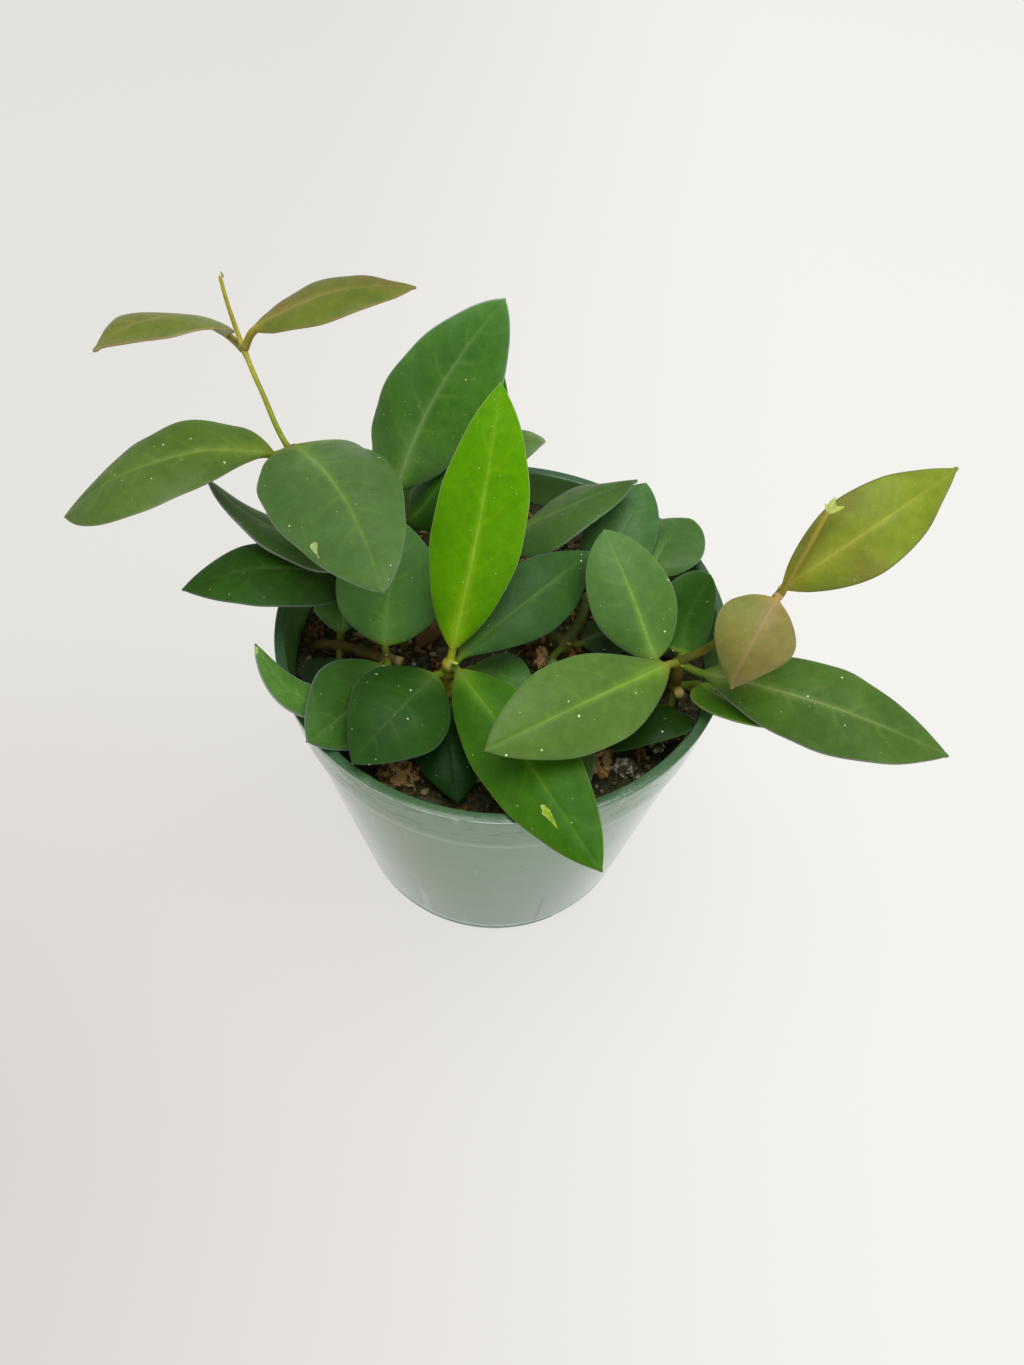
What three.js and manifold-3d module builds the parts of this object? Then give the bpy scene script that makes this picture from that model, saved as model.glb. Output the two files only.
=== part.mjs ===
// A small-leaved hoya in a 4 inch nursery pot: a tapered plastic pot filled with bark mix, eight stems
// that stand in it and their waxy leaves. Millimetres, +Z up, origin at the middle of the pot's base.
// X runs to the right of the usual viewpoint and Y away from it.
import * as THREE from "three";
import { mergeVertices } from "three/addons/utils/BufferGeometryUtils.js";
import Module from "manifold-3d";

// ---------- Driving dimensions ----------
const POT = {
  height: 90,
  rimRadius: 53,
  rimWidth: 2.4,
  bandHeight: 15,
  bandStep: 0.8,
  bandLowRadius: 51.3,
  rimRound: 0.5,
  baseRadius: 39.5,
  baseRound: 1.2,
  floor: 1.6,
  wall: 1.2,
  segments: 72,
  slots: 4, // notches in the foot, each with a drain hole behind it
  slotTurn: -52,
  slotWidth: 13.5,
  slotHeight: 1.3,
  slotDepth: 1.6,
  drainWidth: 7,
  drainLength: 5,
  drainOverlap: 0.1,
};
const GAP = 0.3; // clearance between pieces that touch
const MIX = { level: 77, rings: 9, holeDepth: 11, holeSides: 16, bankHeight: 3, bankFrom: 34, bankTo: 50 };
const CHIP = { smallest: 0.82, spread: 0.3, bedGap: 0.4, seed: 11 };
const BLADE = {
  midThickness: 1.3,
  edgeThickness: 0.7,
  tipHalf: 0.45, // half the width of the blunt tip
  cup: 0.24, // how far the margins curl down, as a share of the half width
  fold: 0.1, // how far the halves rise from the midrib, likewise
  belly: 0.43, // where the blade is widest, as a share of its length
  point: 0.85, // how sharply it narrows to the tip
  steps: [0, 0.03, 0.1, 0.25, 0.43, 0.62, 0.79, 0.92, 1],
  across: [-1, -0.5, 0, 0.5, 1],
};
const PETIOLE = { radius: 0.85, steps: [0, 0.33, 0.67] };
const STEM = { sides: 8, nodeSwell: 1.3, nodeSpread: 0.22, endTaper: 0.6 };
const ROUGHNESS = { pot: 0.45, mix: 0.95, chip: 0.9, stem: 0.5, leaf: 0.42 };

const COLOURS = {
  pot: 0x86a08c,
  mix: 0x2a1a12,
  stem: 0x7c8a3a,
  bark: 0x7a4a28,
  perlite: 0xcfcac0,
  dark: 0x24541f,
  deep: 0x1d4a24,
  mid: 0x3f6e3a,
  pale: 0x5f8a3c,
  bright: 0x63b416,
  grey: 0x50754a,
  olive: 0x8aa33a,
  bronze: 0x9a8a55,
  flushed: 0x6b6b3a,
};

// ---------- Small helpers ----------
const vec = (p) => new THREE.Vector3(...p);
const wasm = await Module();
wasm.setup();

function seededRandom(seed) {
  let state = seed;
  return () => {
    state = (state * 1664525 + 1013904223) % 4294967296;
    return state / 4294967296;
  };
}

function solidOf(geometry) {
  const bare = geometry.clone();
  for (const name of ["normal", "uv"]) bare.deleteAttribute(name);
  const merged = mergeVertices(bare, 1e-4);
  return new wasm.Manifold(
    new wasm.Mesh({
      numProp: 3,
      vertProperties: new Float32Array(merged.attributes.position.array),
      triVerts: new Uint32Array(merged.index.array),
    }),
  );
}

function geometryOf(solid) {
  const mesh = solid.getMesh();
  const geometry = new THREE.BufferGeometry();
  geometry.setAttribute("position", new THREE.BufferAttribute(new Float32Array(mesh.vertProperties), 3));
  geometry.setIndex(new THREE.BufferAttribute(new Uint32Array(mesh.triVerts), 1));
  geometry.computeVertexNormals();
  return geometry;
}

function indexedGeometry(points, triangles) {
  const geometry = new THREE.BufferGeometry();
  geometry.setAttribute("position", new THREE.Float32BufferAttribute(points.flatMap((p) => p.toArray()), 3));
  geometry.setIndex(triangles);
  geometry.computeVertexNormals();
  return geometry;
}

const plant = new THREE.Group();

function addMesh(name, geometry, colour, roughness) {
  const material = new THREE.MeshStandardMaterial({ color: colour, roughness, metalness: 0 });
  const mesh = new THREE.Mesh(geometry, material);
  mesh.name = name;
  plant.add(mesh);
}

// ---------- Pot ----------
const bandZ = POT.height - POT.bandHeight;
const bodyTopRadius = POT.bandLowRadius - POT.bandStep;
const taper = (bodyTopRadius - POT.baseRadius) / (bandZ - POT.bandStep);
const lipRadius = POT.rimRadius - POT.rimWidth;

// The bore follows the tapered wall and is straight inside the thicker rim.
function innerRadius(z) {
  return Math.min(POT.baseRadius + taper * z - POT.wall, lipRadius);
}

function potGeometry() {
  const straightZ = (lipRadius + POT.wall - POT.baseRadius) / taper;
  const profile = [
    [0, 0],
    [POT.baseRadius - POT.baseRound, 0],
    [POT.baseRadius, POT.baseRound],
    [bodyTopRadius, bandZ - POT.bandStep],
    [POT.bandLowRadius, bandZ],
    [POT.rimRadius, POT.height - POT.rimRound],
    [POT.rimRadius - POT.rimRound, POT.height],
    [lipRadius + POT.rimRound, POT.height],
    [lipRadius, POT.height - POT.rimRound],
    [lipRadius, straightZ],
    [innerRadius(POT.floor), POT.floor],
    [0, POT.floor],
  ];
  const lathe = new THREE.LatheGeometry(profile.map(([r, z]) => new THREE.Vector2(r, z)), POT.segments);
  lathe.rotateX(Math.PI / 2);
  let solid = solidOf(lathe);
  const drainOuter = POT.baseRadius - POT.slotDepth + POT.drainOverlap;
  for (let i = 0; i < POT.slots; i++) {
    const notch = new THREE.BoxGeometry(2 * POT.slotDepth, POT.slotWidth, 2 * POT.slotHeight);
    notch.translate(POT.baseRadius, 0, 0);
    const drain = new THREE.BoxGeometry(POT.drainLength, POT.drainWidth, 4 * POT.floor);
    drain.translate(drainOuter - POT.drainLength / 2, 0, 0);
    for (const cutter of [notch, drain]) {
      cutter.rotateZ(THREE.MathUtils.degToRad(POT.slotTurn) + (i * 2 * Math.PI) / POT.slots);
      solid = solid.subtract(solidOf(cutter));
    }
  }
  return geometryOf(solid);
}

// ---------- Stems ----------
// Each vine is a main line from its hole in the mix, with side lines fused to it. Each point is
// [x, y, z, radius]; a swollen point is a node, and leaves name the node that they grow from.
const NODES = {
  leftVineLow: [-49, 18, 122],
  leftVineTop: [-61, 36.5, 133.5],
  leftRear: [-32, 4, 92],
  leftLying: [-38, -6, 84],
  leftEnd: [-26, -12, 88],
  frontTop: [-11, -18, 96],
  frontMid: [-11.5, -17.5, 92.5],
  frontLow: [-12, -17, 84],
  back: [-29, 26, 94],
  rear: [-7, 34, 92],
  middle: [15, 0, 83],
  middleLeft: [4, 12, 89],
  middleRight: [20, 10, 89],
  middleEnd: [29, 12, 92],
  rightLow: [40, -14, 88],
  rightMid: [39.5, -14, 93],
  rightTop: [39, -14.5, 97.5],
  rightVine: [55.5, -13.5, 121],
};

const STEMS = [
  {
    name: "stem_left_vine",
    lines: [
      [
        [-24, 0, 0, 1.0], [-24, 0, 82, 0.9], [-26, 6, 91, 0.8], [-33, 14, 105, 0.7], ["leftVineLow", 0.65],
        [-56, 28, 129, 0.55], ["leftVineTop", 0.58], [-63.8, 40.3, 142, 0.45], [-65, 42.5, 147.5, 0.4],
      ],
    ],
  },
  {
    name: "stem_left",
    lines: [
      [[-45, -4, 0, 1.3], [-45, -4, 79, 1.25], [-43, -5, 82.5, 1.2], ["leftLying", 1.2], ["leftEnd", 1.4],
        [-22.5, -13, 88.5, 1.3]],
    ],
  },
  {
    name: "stem_left_rear",
    lines: [[[-31, 5, 0, 1.1], [-31, 5, 82, 1.1], ["leftRear", 1.1]]],
  },
  {
    name: "stem_front",
    lines: [
      [[-12, -17, 0, 1.4], [-12, -17, 79, 1.4], ["frontLow", 1.3], [-12.3, -17.5, 88, 1.3], ["frontMid", 1.3],
        ["frontTop", 1.3], [-10.6, -18, 97.5, 1.1]],
    ],
  },
  {
    name: "stem_back",
    lines: [[[-29, 24, 0, 1.3], [-29, 24, 80, 1.3], [-29, 25, 88, 1.2], ["back", 1.2]]],
  },
  {
    name: "stem_rear",
    lines: [[[-7, 33, 0, 1.1], [-7, 33, 80, 1.1], ["rear", 1.1]]],
  },
  {
    name: "stem_middle",
    lines: [
      [[15, 1, 0, 1.6], [15, 1, 79, 1.6], ["middle", 1.5], [18, 4, 86.5, 1.3], ["middleRight", 1.2],
        [25, 11.5, 91, 1.1], ["middleEnd", 1.0]],
      [["middle", 1.2], [10, 3, 84.5, 1.1], [6, 8, 87.5, 1.0], ["middleLeft", 1.0]],
    ],
  },
  {
    name: "stem_right",
    lines: [
      [[41, -13, 0, 1.3], [41, -13, 80, 1.3], ["rightLow", 1.3], ["rightMid", 1.2], ["rightTop", 1.1],
        [44, -14, 102, 0.85], [50, -14, 113, 0.78], ["rightVine", 0.75], [57.5, -11.5, 127, 0.58],
        [61.5, -6, 138, 0.55]],
      [["rightLow", 1.2], [40.6, -17.4, 89.8, 1.1]],
      [[61.2, -6.4, 137, 0.5], [63, -6, 138.3, 0.5], [65, -5.2, 139, 0.35]],
      [[61.2, -6.4, 137, 0.5], [61.8, -5.6, 139, 0.5], [62.7, -5, 140.3, 0.35]],
    ],
  },
];

const holeStart = MIX.level - MIX.holeDepth;

function linePoints(line) {
  const points = [];
  for (const entry of line) {
    if (typeof entry[0] === "string") points.push({ at: vec(NODES[entry[0]]), radius: entry[1], node: true });
    else points.push({ at: vec(entry.slice(0, 3)), radius: entry[3], node: false });
  }
  return points;
}

// A closed tube through rings of points, with fans at its ends.
function tubeGeometry(rings) {
  const sides = rings[0].length;
  const points = rings.flat();
  const triangles = [];
  for (let i = 0; i + 1 < rings.length; i++) {
    for (let j = 0; j < sides; j++) {
      const a = i * sides + j;
      const b = i * sides + ((j + 1) % sides);
      triangles.push(a, b, b + sides, a, b + sides, a + sides);
    }
  }
  const last = (rings.length - 1) * sides;
  for (let j = 1; j + 1 < sides; j++) {
    triangles.push(0, j + 1, j, last, last + j, last + j + 1);
  }
  return indexedGeometry(points, triangles);
}

function lineGeometry(line, fromMix) {
  const points = linePoints(line);
  if (fromMix) {
    const foot = points[0];
    foot.at.z = MIX.level + 1;
    points.unshift({ ...foot, at: foot.at.clone().setZ(holeStart) });
  }
  const [before, end] = points.slice(-2);
  if (end.node) {
    const onward = end.at.clone().sub(before.at).normalize();
    const tip = end.at.clone().addScaledVector(onward, end.radius * STEM.nodeSwell);
    points.push({ at: tip, radius: end.radius * STEM.endTaper, node: false });
  }
  const curve = new THREE.CatmullRomCurve3(points.map((p) => p.at), false, "centripetal");
  const spans = points.length - 1;
  const stops = [];
  points.forEach((point, i) => {
    const near = STEM.nodeSpread;
    if (point.node && i > 0) stops.push([i - near, point.radius]);
    stops.push([i, point.radius * (point.node ? STEM.nodeSwell : 1)]);
    if (point.node && i < spans) stops.push([i + near, point.radius]);
    if (!point.node && i < spans) stops.push([i + 0.5, (point.radius + points[i + 1].radius) / 2]);
  });
  let side = new THREE.Vector3(1, 0, 0);
  const rings = stops.map(([place, radius]) => {
    const u = Math.min(place / spans, 1);
    const centre = curve.getPoint(u);
    const along = curve.getTangent(u);
    side = side.clone().addScaledVector(along, -side.dot(along)).normalize();
    const other = new THREE.Vector3().crossVectors(along, side);
    return Array.from({ length: STEM.sides }, (_, k) => {
      const angle = (k * 2 * Math.PI) / STEM.sides;
      return centre.clone()
        .addScaledVector(side, radius * Math.cos(angle))
        .addScaledVector(other, radius * Math.sin(angle));
    });
  });
  return tubeGeometry(rings);
}

function stemGeometry(stem) {
  let solid = null;
  stem.lines.forEach((line, i) => {
    const piece = solidOf(lineGeometry(line, i === 0));
    solid = solid ? solid.add(piece) : piece;
  });
  return geometryOf(solid);
}

// ---------- Leaves ----------
// Each leaf is a petiole and a blade in one piece: where it grows, the blade's base and tip, its width,
// and how it lies. roll turns the blade about its length and twist winds it along its length, arch lifts
// its middle and sway bends it sideways. skew puts one half's widest place nearer the tip than the other's.
const LEAVES = [
  ["leaf_left_vine_1", "leftVineTop", [-66, 41.5, 133.5], [-87, 21, 142.5], 21, "flushed",
    { roll: 17, arch: 5.5, sway: -2, twist: 33, belly: 0.45, point: 1.25, skew: 0.07 }],
  ["leaf_left_vine_2", "leftVineTop", [-58, 37.5, 138], [-24, 48, 144], 15.5, "flushed",
    { roll: -2, arch: 3.5, belly: 0.45, point: 0.9 }],
  ["leaf_left_vine_3", "leftVineLow", [-52, 14.5, 123.5], [-92, -4.5, 120], 22, "mid",
    { arch: 10, sway: -3.5, twist: -31, belly: 0.48, point: 0.85, skew: -0.14 }],
  ["leaf_left_vine_4", "leftVineLow", [-47, 15.5, 125], [-22, -28.5, 131.5], 29, "grey",
    { roll: 1, arch: 3.5, sway: -2, twist: -16, belly: 0.3, point: 0.7, skew: 0.09 }],
  ["leaf_left_1", "leftRear", [-33.5, 7.5, 100], [-67.5, 14, 115], 17.5, "deep",
    { roll: 27, arch: -3.5, twist: -15, belly: 0.41, point: 0.7, skew: 0.02 }],
  ["leaf_left_2", "leftRear", [-37, 4, 94], [-71, -7, 102], 20, "dark", { roll: 0, arch: 6 }],
  ["leaf_left_3", "leftEnd", [-26.3, -11, 92], [-25.7, 12, 110], 24.5, "mid", { roll: 6, arch: 2 }],
  ["leaf_left_4", "leftLying", [-38.5, -2.5, 84.5], [-45, 8.5, 90.5], 12.5, "dark",
    { roll: 3, arch: 3.5, sway: 2 }],
  ["leaf_left_5", "leftEnd", [-32, -24, 89], [-52, -21, 102.5], 7.5, "dark",
    { roll: -11, arch: 2, sway: -6.5, belly: 0.4, point: 0.72, skew: 0.03 }],
  ["leaf_left_6", "leftEnd", [-25.5, -17, 91.5], [-39, -39, 94], 20.5, "dark",
    { roll: -33, arch: 0.5, sway: -1, belly: 0.41, point: 0.8, skew: 0.03 }],
  ["leaf_left_7", "leftLying", [-38, -10, 83], [-42, -21, 85], 13, "deep", { roll: -10, arch: 1 }],
  ["leaf_front_1", "frontTop", [-10.5, -15.5, 98.5], [-3.5, 19.5, 142.5], 19.5, "bright",
    { roll: 8, arch: 4.5, sway: 1, twist: -9, belly: 0.48, point: 0.84, skew: 0.02 }],
  ["leaf_front_2", "frontTop", [-9, -20, 96.5], [23, -63, 92], 20, "dark",
    { roll: 15, arch: 1, sway: -0.5, twist: -7, belly: 0.46, point: 0.85 }],
  ["leaf_front_3", "frontMid", [-9, -15, 94.5], [19, 13, 101.5], 17.5, "mid",
    { roll: 22, arch: 3.5, twist: -15, belly: 0.5, point: 0.92, skew: 0.05 }],
  ["leaf_front_4", "frontMid", [-14, -20.5, 94.5], [-29, -43, 93], 22, "dark", { roll: -15, arch: 4 }],
  ["leaf_front_5", "frontLow", [-12, -21, 84], [-7, -44, 81], 17, "deep", { roll: 0, arch: 3 }],
  ["leaf_front_6", "frontLow", [-6, -10, 84], [8, -16, 86], 13, "grey", { roll: 10, arch: 1 }],
  ["leaf_back_1", "back", [-27.5, 27.5, 103], [-4, 38.5, 149], 25, "dark",
    { roll: 43, arch: 2, sway: -2.5, twist: -25, belly: 0.4, point: 0.75, skew: 0.11 }],
  ["leaf_back_2", "back", [-25, 27, 93.5], [-4.5, 47.5, 124.5], 19, "deep",
    { roll: 10, arch: 7.5, sway: 6, twist: -50, belly: 0.4, point: 0.8, skew: 0.03 }],
  ["leaf_rear_1", "rear", [-3, 40, 99], [6.5, 51.5, 100.5], 11, "mid",
    { roll: -8, arch: 5.5, belly: 0.47, point: 0.6 }],
  ["leaf_rear_2", "rear", [-9.5, 30, 93.5], [-17, 12, 91], 13, "deep", { arch: 1 }],
  ["leaf_middle_1", "middleLeft", [0.5, 23, 94], [29.5, 33, 106], 23.5, "mid",
    { roll: -22, arch: 3, sway: 4, belly: 0.42, point: 1.1, skew: -0.1 }],
  ["leaf_middle_2", "middleRight", [20.5, 14.5, 91.5], [32.5, 37.5, 101], 17.5, "mid",
    { roll: 8, arch: 1, sway: 1, belly: 0.42, point: 0.7, skew: -0.02 }],
  ["leaf_middle_3", "middleEnd", [35, 16, 91], [45, 33.5, 93.5], 18, "grey",
    { roll: -7, arch: 2, sway: -1, twist: 6, belly: 0.49, point: 0.5 }],
  ["leaf_middle_4", "middle", [19, 0, 83.5], [34, 5, 86], 12, "deep", { roll: 0, arch: 1 }],
  ["leaf_middle_5", "middle", [12, -5, 82.5], [21, -39, 82], 11, "deep", { roll: 0, arch: 2 }],
  ["leaf_right_1", "rightTop", [36, -18, 101], [-1.5, -45, 105], 20.5, "pale",
    { roll: -24, arch: 3, twist: 12, belly: 0.5, point: 0.86, skew: 0.03 }],
  ["leaf_right_2", "rightTop", [44.5, -17, 97.5], [94.5, -34.5, 98], 19.5, "dark",
    { roll: 15, arch: 7, sway: 1, twist: 8, belly: 0.48, point: 0.92, skew: 0.02 }],
  ["leaf_right_3", "rightMid", [34.5, -12, 95], [21, 9.5, 112.5], 19, "grey",
    { roll: -14, arch: 1.5, twist: -5, belly: 0.47, point: 0.7, skew: -0.02 }],
  ["leaf_right_4", "rightMid", [40.5, -10, 94.5], [47, 9, 100.5], 15.5, "dark",
    { roll: 32, arch: -2, sway: -1, twist: -9, belly: 0.47, point: 0.5 }],
  ["leaf_right_5", "rightLow", [45, -16, 91.5], [61, -29, 98], 11, "dark",
    { roll: -15, sway: 1, twist: -5, belly: 0.38, point: 0.5, skew: -0.06 }],
  ["leaf_right_6", "rightLow", [39, -18, 84.5], [25.5, -32.5, 87.5], 21, "deep",
    { roll: 21, arch: 4, twist: 13, belly: 0.37, point: 0.82, skew: 0.02 }],
  ["leaf_right_vine_1", "rightVine", [54.5, -15.5, 121.5], [48, -27, 106.5], 17, "bronze",
    { roll: -13, arch: 4.5, sway: 1, twist: -3, belly: 0.35, point: 1.1, skew: -0.02 }],
  ["leaf_right_vine_2", "rightVine", [57, -10.5, 120], [89.5, 9, 137.5], 17, "olive",
    { roll: 27, arch: 8.5, twist: -8, belly: 0.42, point: 1.1 }],
];

// Half the blade's width as a share of its widest, at a share t of its length.
function outline(t, belly, point) {
  const rise = (point * belly) / (1 - belly);
  return Math.pow(t / belly, rise) * Math.pow((1 - t) / (1 - belly), point);
}

// The leaf's cross-sections along the petiole and then the blade: centre, directions across and up,
// half widths to each side, half thickness, and how far the section is blade.
function leafFrames(node, base, tip, form) {
  const along = tip.clone().sub(base);
  const axis = along.clone().normalize();
  const up = new THREE.Vector3(0, 0, 1).addScaledVector(axis, -axis.z).normalize();
  const roll = THREE.MathUtils.degToRad(form.roll);
  const across = new THREE.Vector3().crossVectors(axis, up);
  const face = up.clone().multiplyScalar(Math.cos(roll)).addScaledVector(across, Math.sin(roll));
  const side = new THREE.Vector3().crossVectors(axis, face);
  const centreAt = (t) => base.clone()
    .addScaledVector(along, t)
    .addScaledVector(face, form.arch * 4 * t * (1 - t))
    .addScaledVector(side, form.sway * 4 * t * (1 - t));
  const tangentAt = (t) => along.clone()
    .addScaledVector(face, form.arch * 4 * (1 - 2 * t))
    .addScaledVector(side, form.sway * 4 * (1 - 2 * t))
    .normalize();
  const out = base.clone().sub(node).normalize();
  const start = node.clone().addScaledVector(out, form.standOff);
  const reach = base.distanceTo(start) / 3;
  const bow = new THREE.CubicBezierCurve3(
    start,
    start.clone().addScaledVector(out, reach),
    base.clone().addScaledVector(tangentAt(0), -reach),
    base,
  );
  const frame = (centre, tangent, turn) => {
    const turned = side.clone().multiplyScalar(Math.cos(turn)).addScaledVector(face, Math.sin(turn));
    const flat = turned.addScaledVector(tangent, -turned.dot(tangent)).normalize();
    return { centre, side: flat, face: new THREE.Vector3().crossVectors(flat, tangent) };
  };
  const twist = THREE.MathUtils.degToRad(form.twist);
  const frames = PETIOLE.steps.map((u) => ({
    ...frame(bow.getPoint(u), bow.getTangent(u), -twist / 2),
    half: [PETIOLE.radius, PETIOLE.radius],
    mid: PETIOLE.radius,
    blade: 0,
  }));
  for (const t of BLADE.steps) {
    const stalk = PETIOLE.radius * (1 - t);
    const half = [-form.skew, form.skew].map((lean) => {
      const wide = 0.5 * form.width * outline(t, form.belly + lean, form.point);
      return Math.max(Math.hypot(wide, stalk), BLADE.tipHalf);
    });
    const rib = THREE.MathUtils.lerp(PETIOLE.radius, BLADE.midThickness / 2, Math.min(t / 0.2, 1));
    frames.push({
      ...frame(centreAt(t), tangentAt(t), twist * (t - 0.5)),
      half,
      mid: rib * (1 - 0.4 * t),
      blade: Math.min(t / 0.1, 1),
    });
  }
  return frames;
}

function leafGeometry(node, base, tip, form) {
  const frames = leafFrames(node, base, tip, form);
  const columns = BLADE.across.length;
  const points = [];
  for (const face of [1, -1]) {
    for (const f of frames) {
      for (const s of BLADE.across) {
        const half = f.half[s < 0 ? 0 : 1];
        const rise = f.blade * half * (BLADE.fold * Math.abs(s) - BLADE.cup * s * s);
        const edge = Math.min(BLADE.edgeThickness / 2, f.mid);
        const skin = edge + (f.mid - edge) * (1 - s * s);
        const point = f.centre.clone().addScaledVector(f.side, s * half);
        points.push(point.addScaledVector(f.face, rise + face * skin));
      }
    }
  }
  const rows = frames.length;
  const under = rows * columns;
  const at = (i, j) => i * columns + j;
  const triangles = [];
  const quad = (a, b, c, d) => triangles.push(a, b, c, a, c, d);
  for (let i = 0; i + 1 < rows; i++) {
    for (let j = 0; j + 1 < columns; j++) {
      const [a, b, c, d] = [at(i, j), at(i + 1, j), at(i + 1, j + 1), at(i, j + 1)];
      triangles.push(a, c, b, a, d, c);
      triangles.push(under + a, under + b, under + c, under + a, under + c, under + d);
    }
    const j = columns - 1;
    quad(at(i, 0), at(i + 1, 0), under + at(i + 1, 0), under + at(i, 0));
    quad(under + at(i, j), under + at(i + 1, j), at(i + 1, j), at(i, j));
  }
  for (let j = 0; j + 1 < columns; j++) {
    const i = rows - 1;
    quad(at(0, j), under + at(0, j), under + at(0, j + 1), at(0, j + 1));
    quad(at(i, j), at(i, j + 1), under + at(i, j + 1), under + at(i, j));
  }
  return indexedGeometry(points, triangles);
}

function nodeRadius(name) {
  let radius = 0;
  for (const stem of STEMS) {
    for (const line of stem.lines) {
      for (const entry of line) {
        if (entry[0] === name) radius = Math.max(radius, entry[1] * STEM.nodeSwell);
      }
    }
  }
  return radius;
}

// ---------- Potting mix and what lies in it ----------
const CHIPS = [
  ["bark_left", [-46.5, 2, 77.5], [2.2, 3.4, 1.6], "bark"],
  ["bark_left_small", [-42, 8, 77.6], [2.4, 1.8, 1.4], "bark"],
  ["dead_leaf", [-18.5, 5, 78], [2.2, 6, 1], "bark"],
  ["bark_middle", [9.5, -1.5, 78], [1.6, 3.2, 1.4], "bark"],
  ["bark_middle_dark", [6, 4, 78], [3, 2.6, 1.6], "bark"],
  ["bark_fibrous", [-21, -36, 77.6], [4.2, 3.2, 1.6], "bark"],
  ["bark_right", [24, -29, 77.6], [2.6, 3.4, 1.8], "bark"],
  ["perlite_front", [29.5, -30.5, 78], [2.8, 2.4, 2], "perlite"],
  ["perlite_side", [33.5, -33, 77.8], [1.8, 1.6, 1.4], "perlite"],
  ["perlite_right", [37, -24, 77.8], [1.8, 1.8, 1.4], "perlite"],
  ["bark_edge", [42.5, -20, 77.6], [1.6, 2, 1.2], "bark"],
];

function mixHeight(x, y) {
  const lumps = 0.7 * Math.sin(x / 5.1 + 1) * Math.cos(y / 4.3);
  const crumbs = 0.5 * Math.sin(x / 2.9 + 2) * Math.sin(y / 3.3);
  const bank = MIX.bankHeight * THREE.MathUtils.smoothstep(y, MIX.bankFrom, MIX.bankTo);
  return MIX.level + lumps + crumbs + bank;
}

function mixGeometry(chips) {
  const sides = POT.segments;
  const rings = [];
  const ring = (radius, heightAt) => Array.from({ length: sides }, (_, k) => {
    const angle = (k * 2 * Math.PI) / sides;
    const [x, y] = [radius * Math.cos(angle), radius * Math.sin(angle)];
    return new THREE.Vector3(x, y, heightAt(x, y));
  });
  const bottom = POT.floor + GAP;
  const topRadius = innerRadius(MIX.level - 2) - GAP;
  rings.push(ring(innerRadius(bottom) - GAP, () => bottom));
  rings.push(ring(topRadius, mixHeight));
  for (let i = MIX.rings - 1; i >= 1; i--) rings.push(ring((topRadius * i) / MIX.rings, mixHeight));
  const points = rings.flat();
  const triangles = [];
  for (let i = 0; i + 1 < rings.length; i++) {
    for (let k = 0; k < sides; k++) {
      const a = i * sides + k;
      const b = i * sides + ((k + 1) % sides);
      triangles.push(a, b, b + sides, a, b + sides, a + sides);
    }
  }
  const low = points.push(new THREE.Vector3(0, 0, bottom)) - 1;
  const high = points.push(new THREE.Vector3(0, 0, mixHeight(0, 0))) - 1;
  const inner = (rings.length - 1) * sides;
  for (let k = 0; k < sides; k++) {
    const next = (k + 1) % sides;
    triangles.push(low, next, k, high, inner + k, inner + next);
  }
  let solid = solidOf(indexedGeometry(points, triangles));
  for (const stem of STEMS) {
    const [x, y, , radius] = stem.lines[0][0];
    const depth = MIX.holeDepth + GAP;
    const hole = new THREE.CylinderGeometry(radius + GAP, radius + GAP, 2 * depth, MIX.holeSides);
    hole.rotateX(Math.PI / 2);
    hole.translate(x, y, MIX.level);
    solid = solid.subtract(solidOf(hole));
  }
  for (const chip of chips) solid = solid.subtract(solidOf(chip.bed));
  return geometryOf(solid);
}

function chipGeometry(centre, size, random, grow) {
  const ball = new THREE.IcosahedronGeometry(1, 1).deleteAttribute("normal").deleteAttribute("uv");
  const rough = mergeVertices(ball, 1e-4);
  const place = rough.attributes.position;
  for (let i = 0; i < place.count; i++) {
    const bump = CHIP.smallest + CHIP.spread * random();
    const [x, y, z] = [place.getX(i), place.getY(i), place.getZ(i)];
    place.setXYZ(
      i,
      centre[0] + x * (size[0] * bump + grow),
      centre[1] + y * (size[1] * bump + grow),
      centre[2] + z * (size[2] * bump + grow),
    );
  }
  rough.computeVertexNormals();
  return rough;
}

// ---------- Assembly ----------
addMesh("pot", potGeometry(), COLOURS.pot, ROUGHNESS.pot);

const chips = CHIPS.map(([name, centre, size, colour], i) => ({
  name,
  colour,
  chip: chipGeometry(centre, size, seededRandom(CHIP.seed + i), 0),
  bed: chipGeometry(centre, size, seededRandom(CHIP.seed + i), CHIP.bedGap),
}));
addMesh("potting_mix", mixGeometry(chips), COLOURS.mix, ROUGHNESS.mix);
for (const { name, colour, chip } of chips) addMesh(name, chip, COLOURS[colour], ROUGHNESS.chip);

for (const stem of STEMS) addMesh(stem.name, stemGeometry(stem), COLOURS.stem, ROUGHNESS.stem);

for (const [name, nodeName, base, tip, width, tone, lie] of LEAVES) {
  const form = {
    width,
    roll: 0,
    arch: 0,
    sway: 0,
    twist: 0,
    belly: BLADE.belly,
    point: BLADE.point,
    skew: 0,
    standOff: nodeRadius(nodeName) + 2 * GAP,
    ...lie,
  };
  const leaf = leafGeometry(vec(NODES[nodeName]), vec(base), vec(tip), form);
  addMesh(name, leaf, COLOURS[tone], ROUGHNESS.leaf);
}

export default plant;
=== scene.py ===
"""A small-leaved hoya in a green nursery pot: the looks of its leaves, stems, potting mix and pot.

Sizes in the tables below are millimetres in the frame's axes, with the origin at the middle of the
pot's base, X to the right of the usual viewpoint, Y away from it and Z up.
"""

import math
import random

import bmesh
import bpy
import numpy as np
from mathutils import Matrix, Vector, noise


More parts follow.
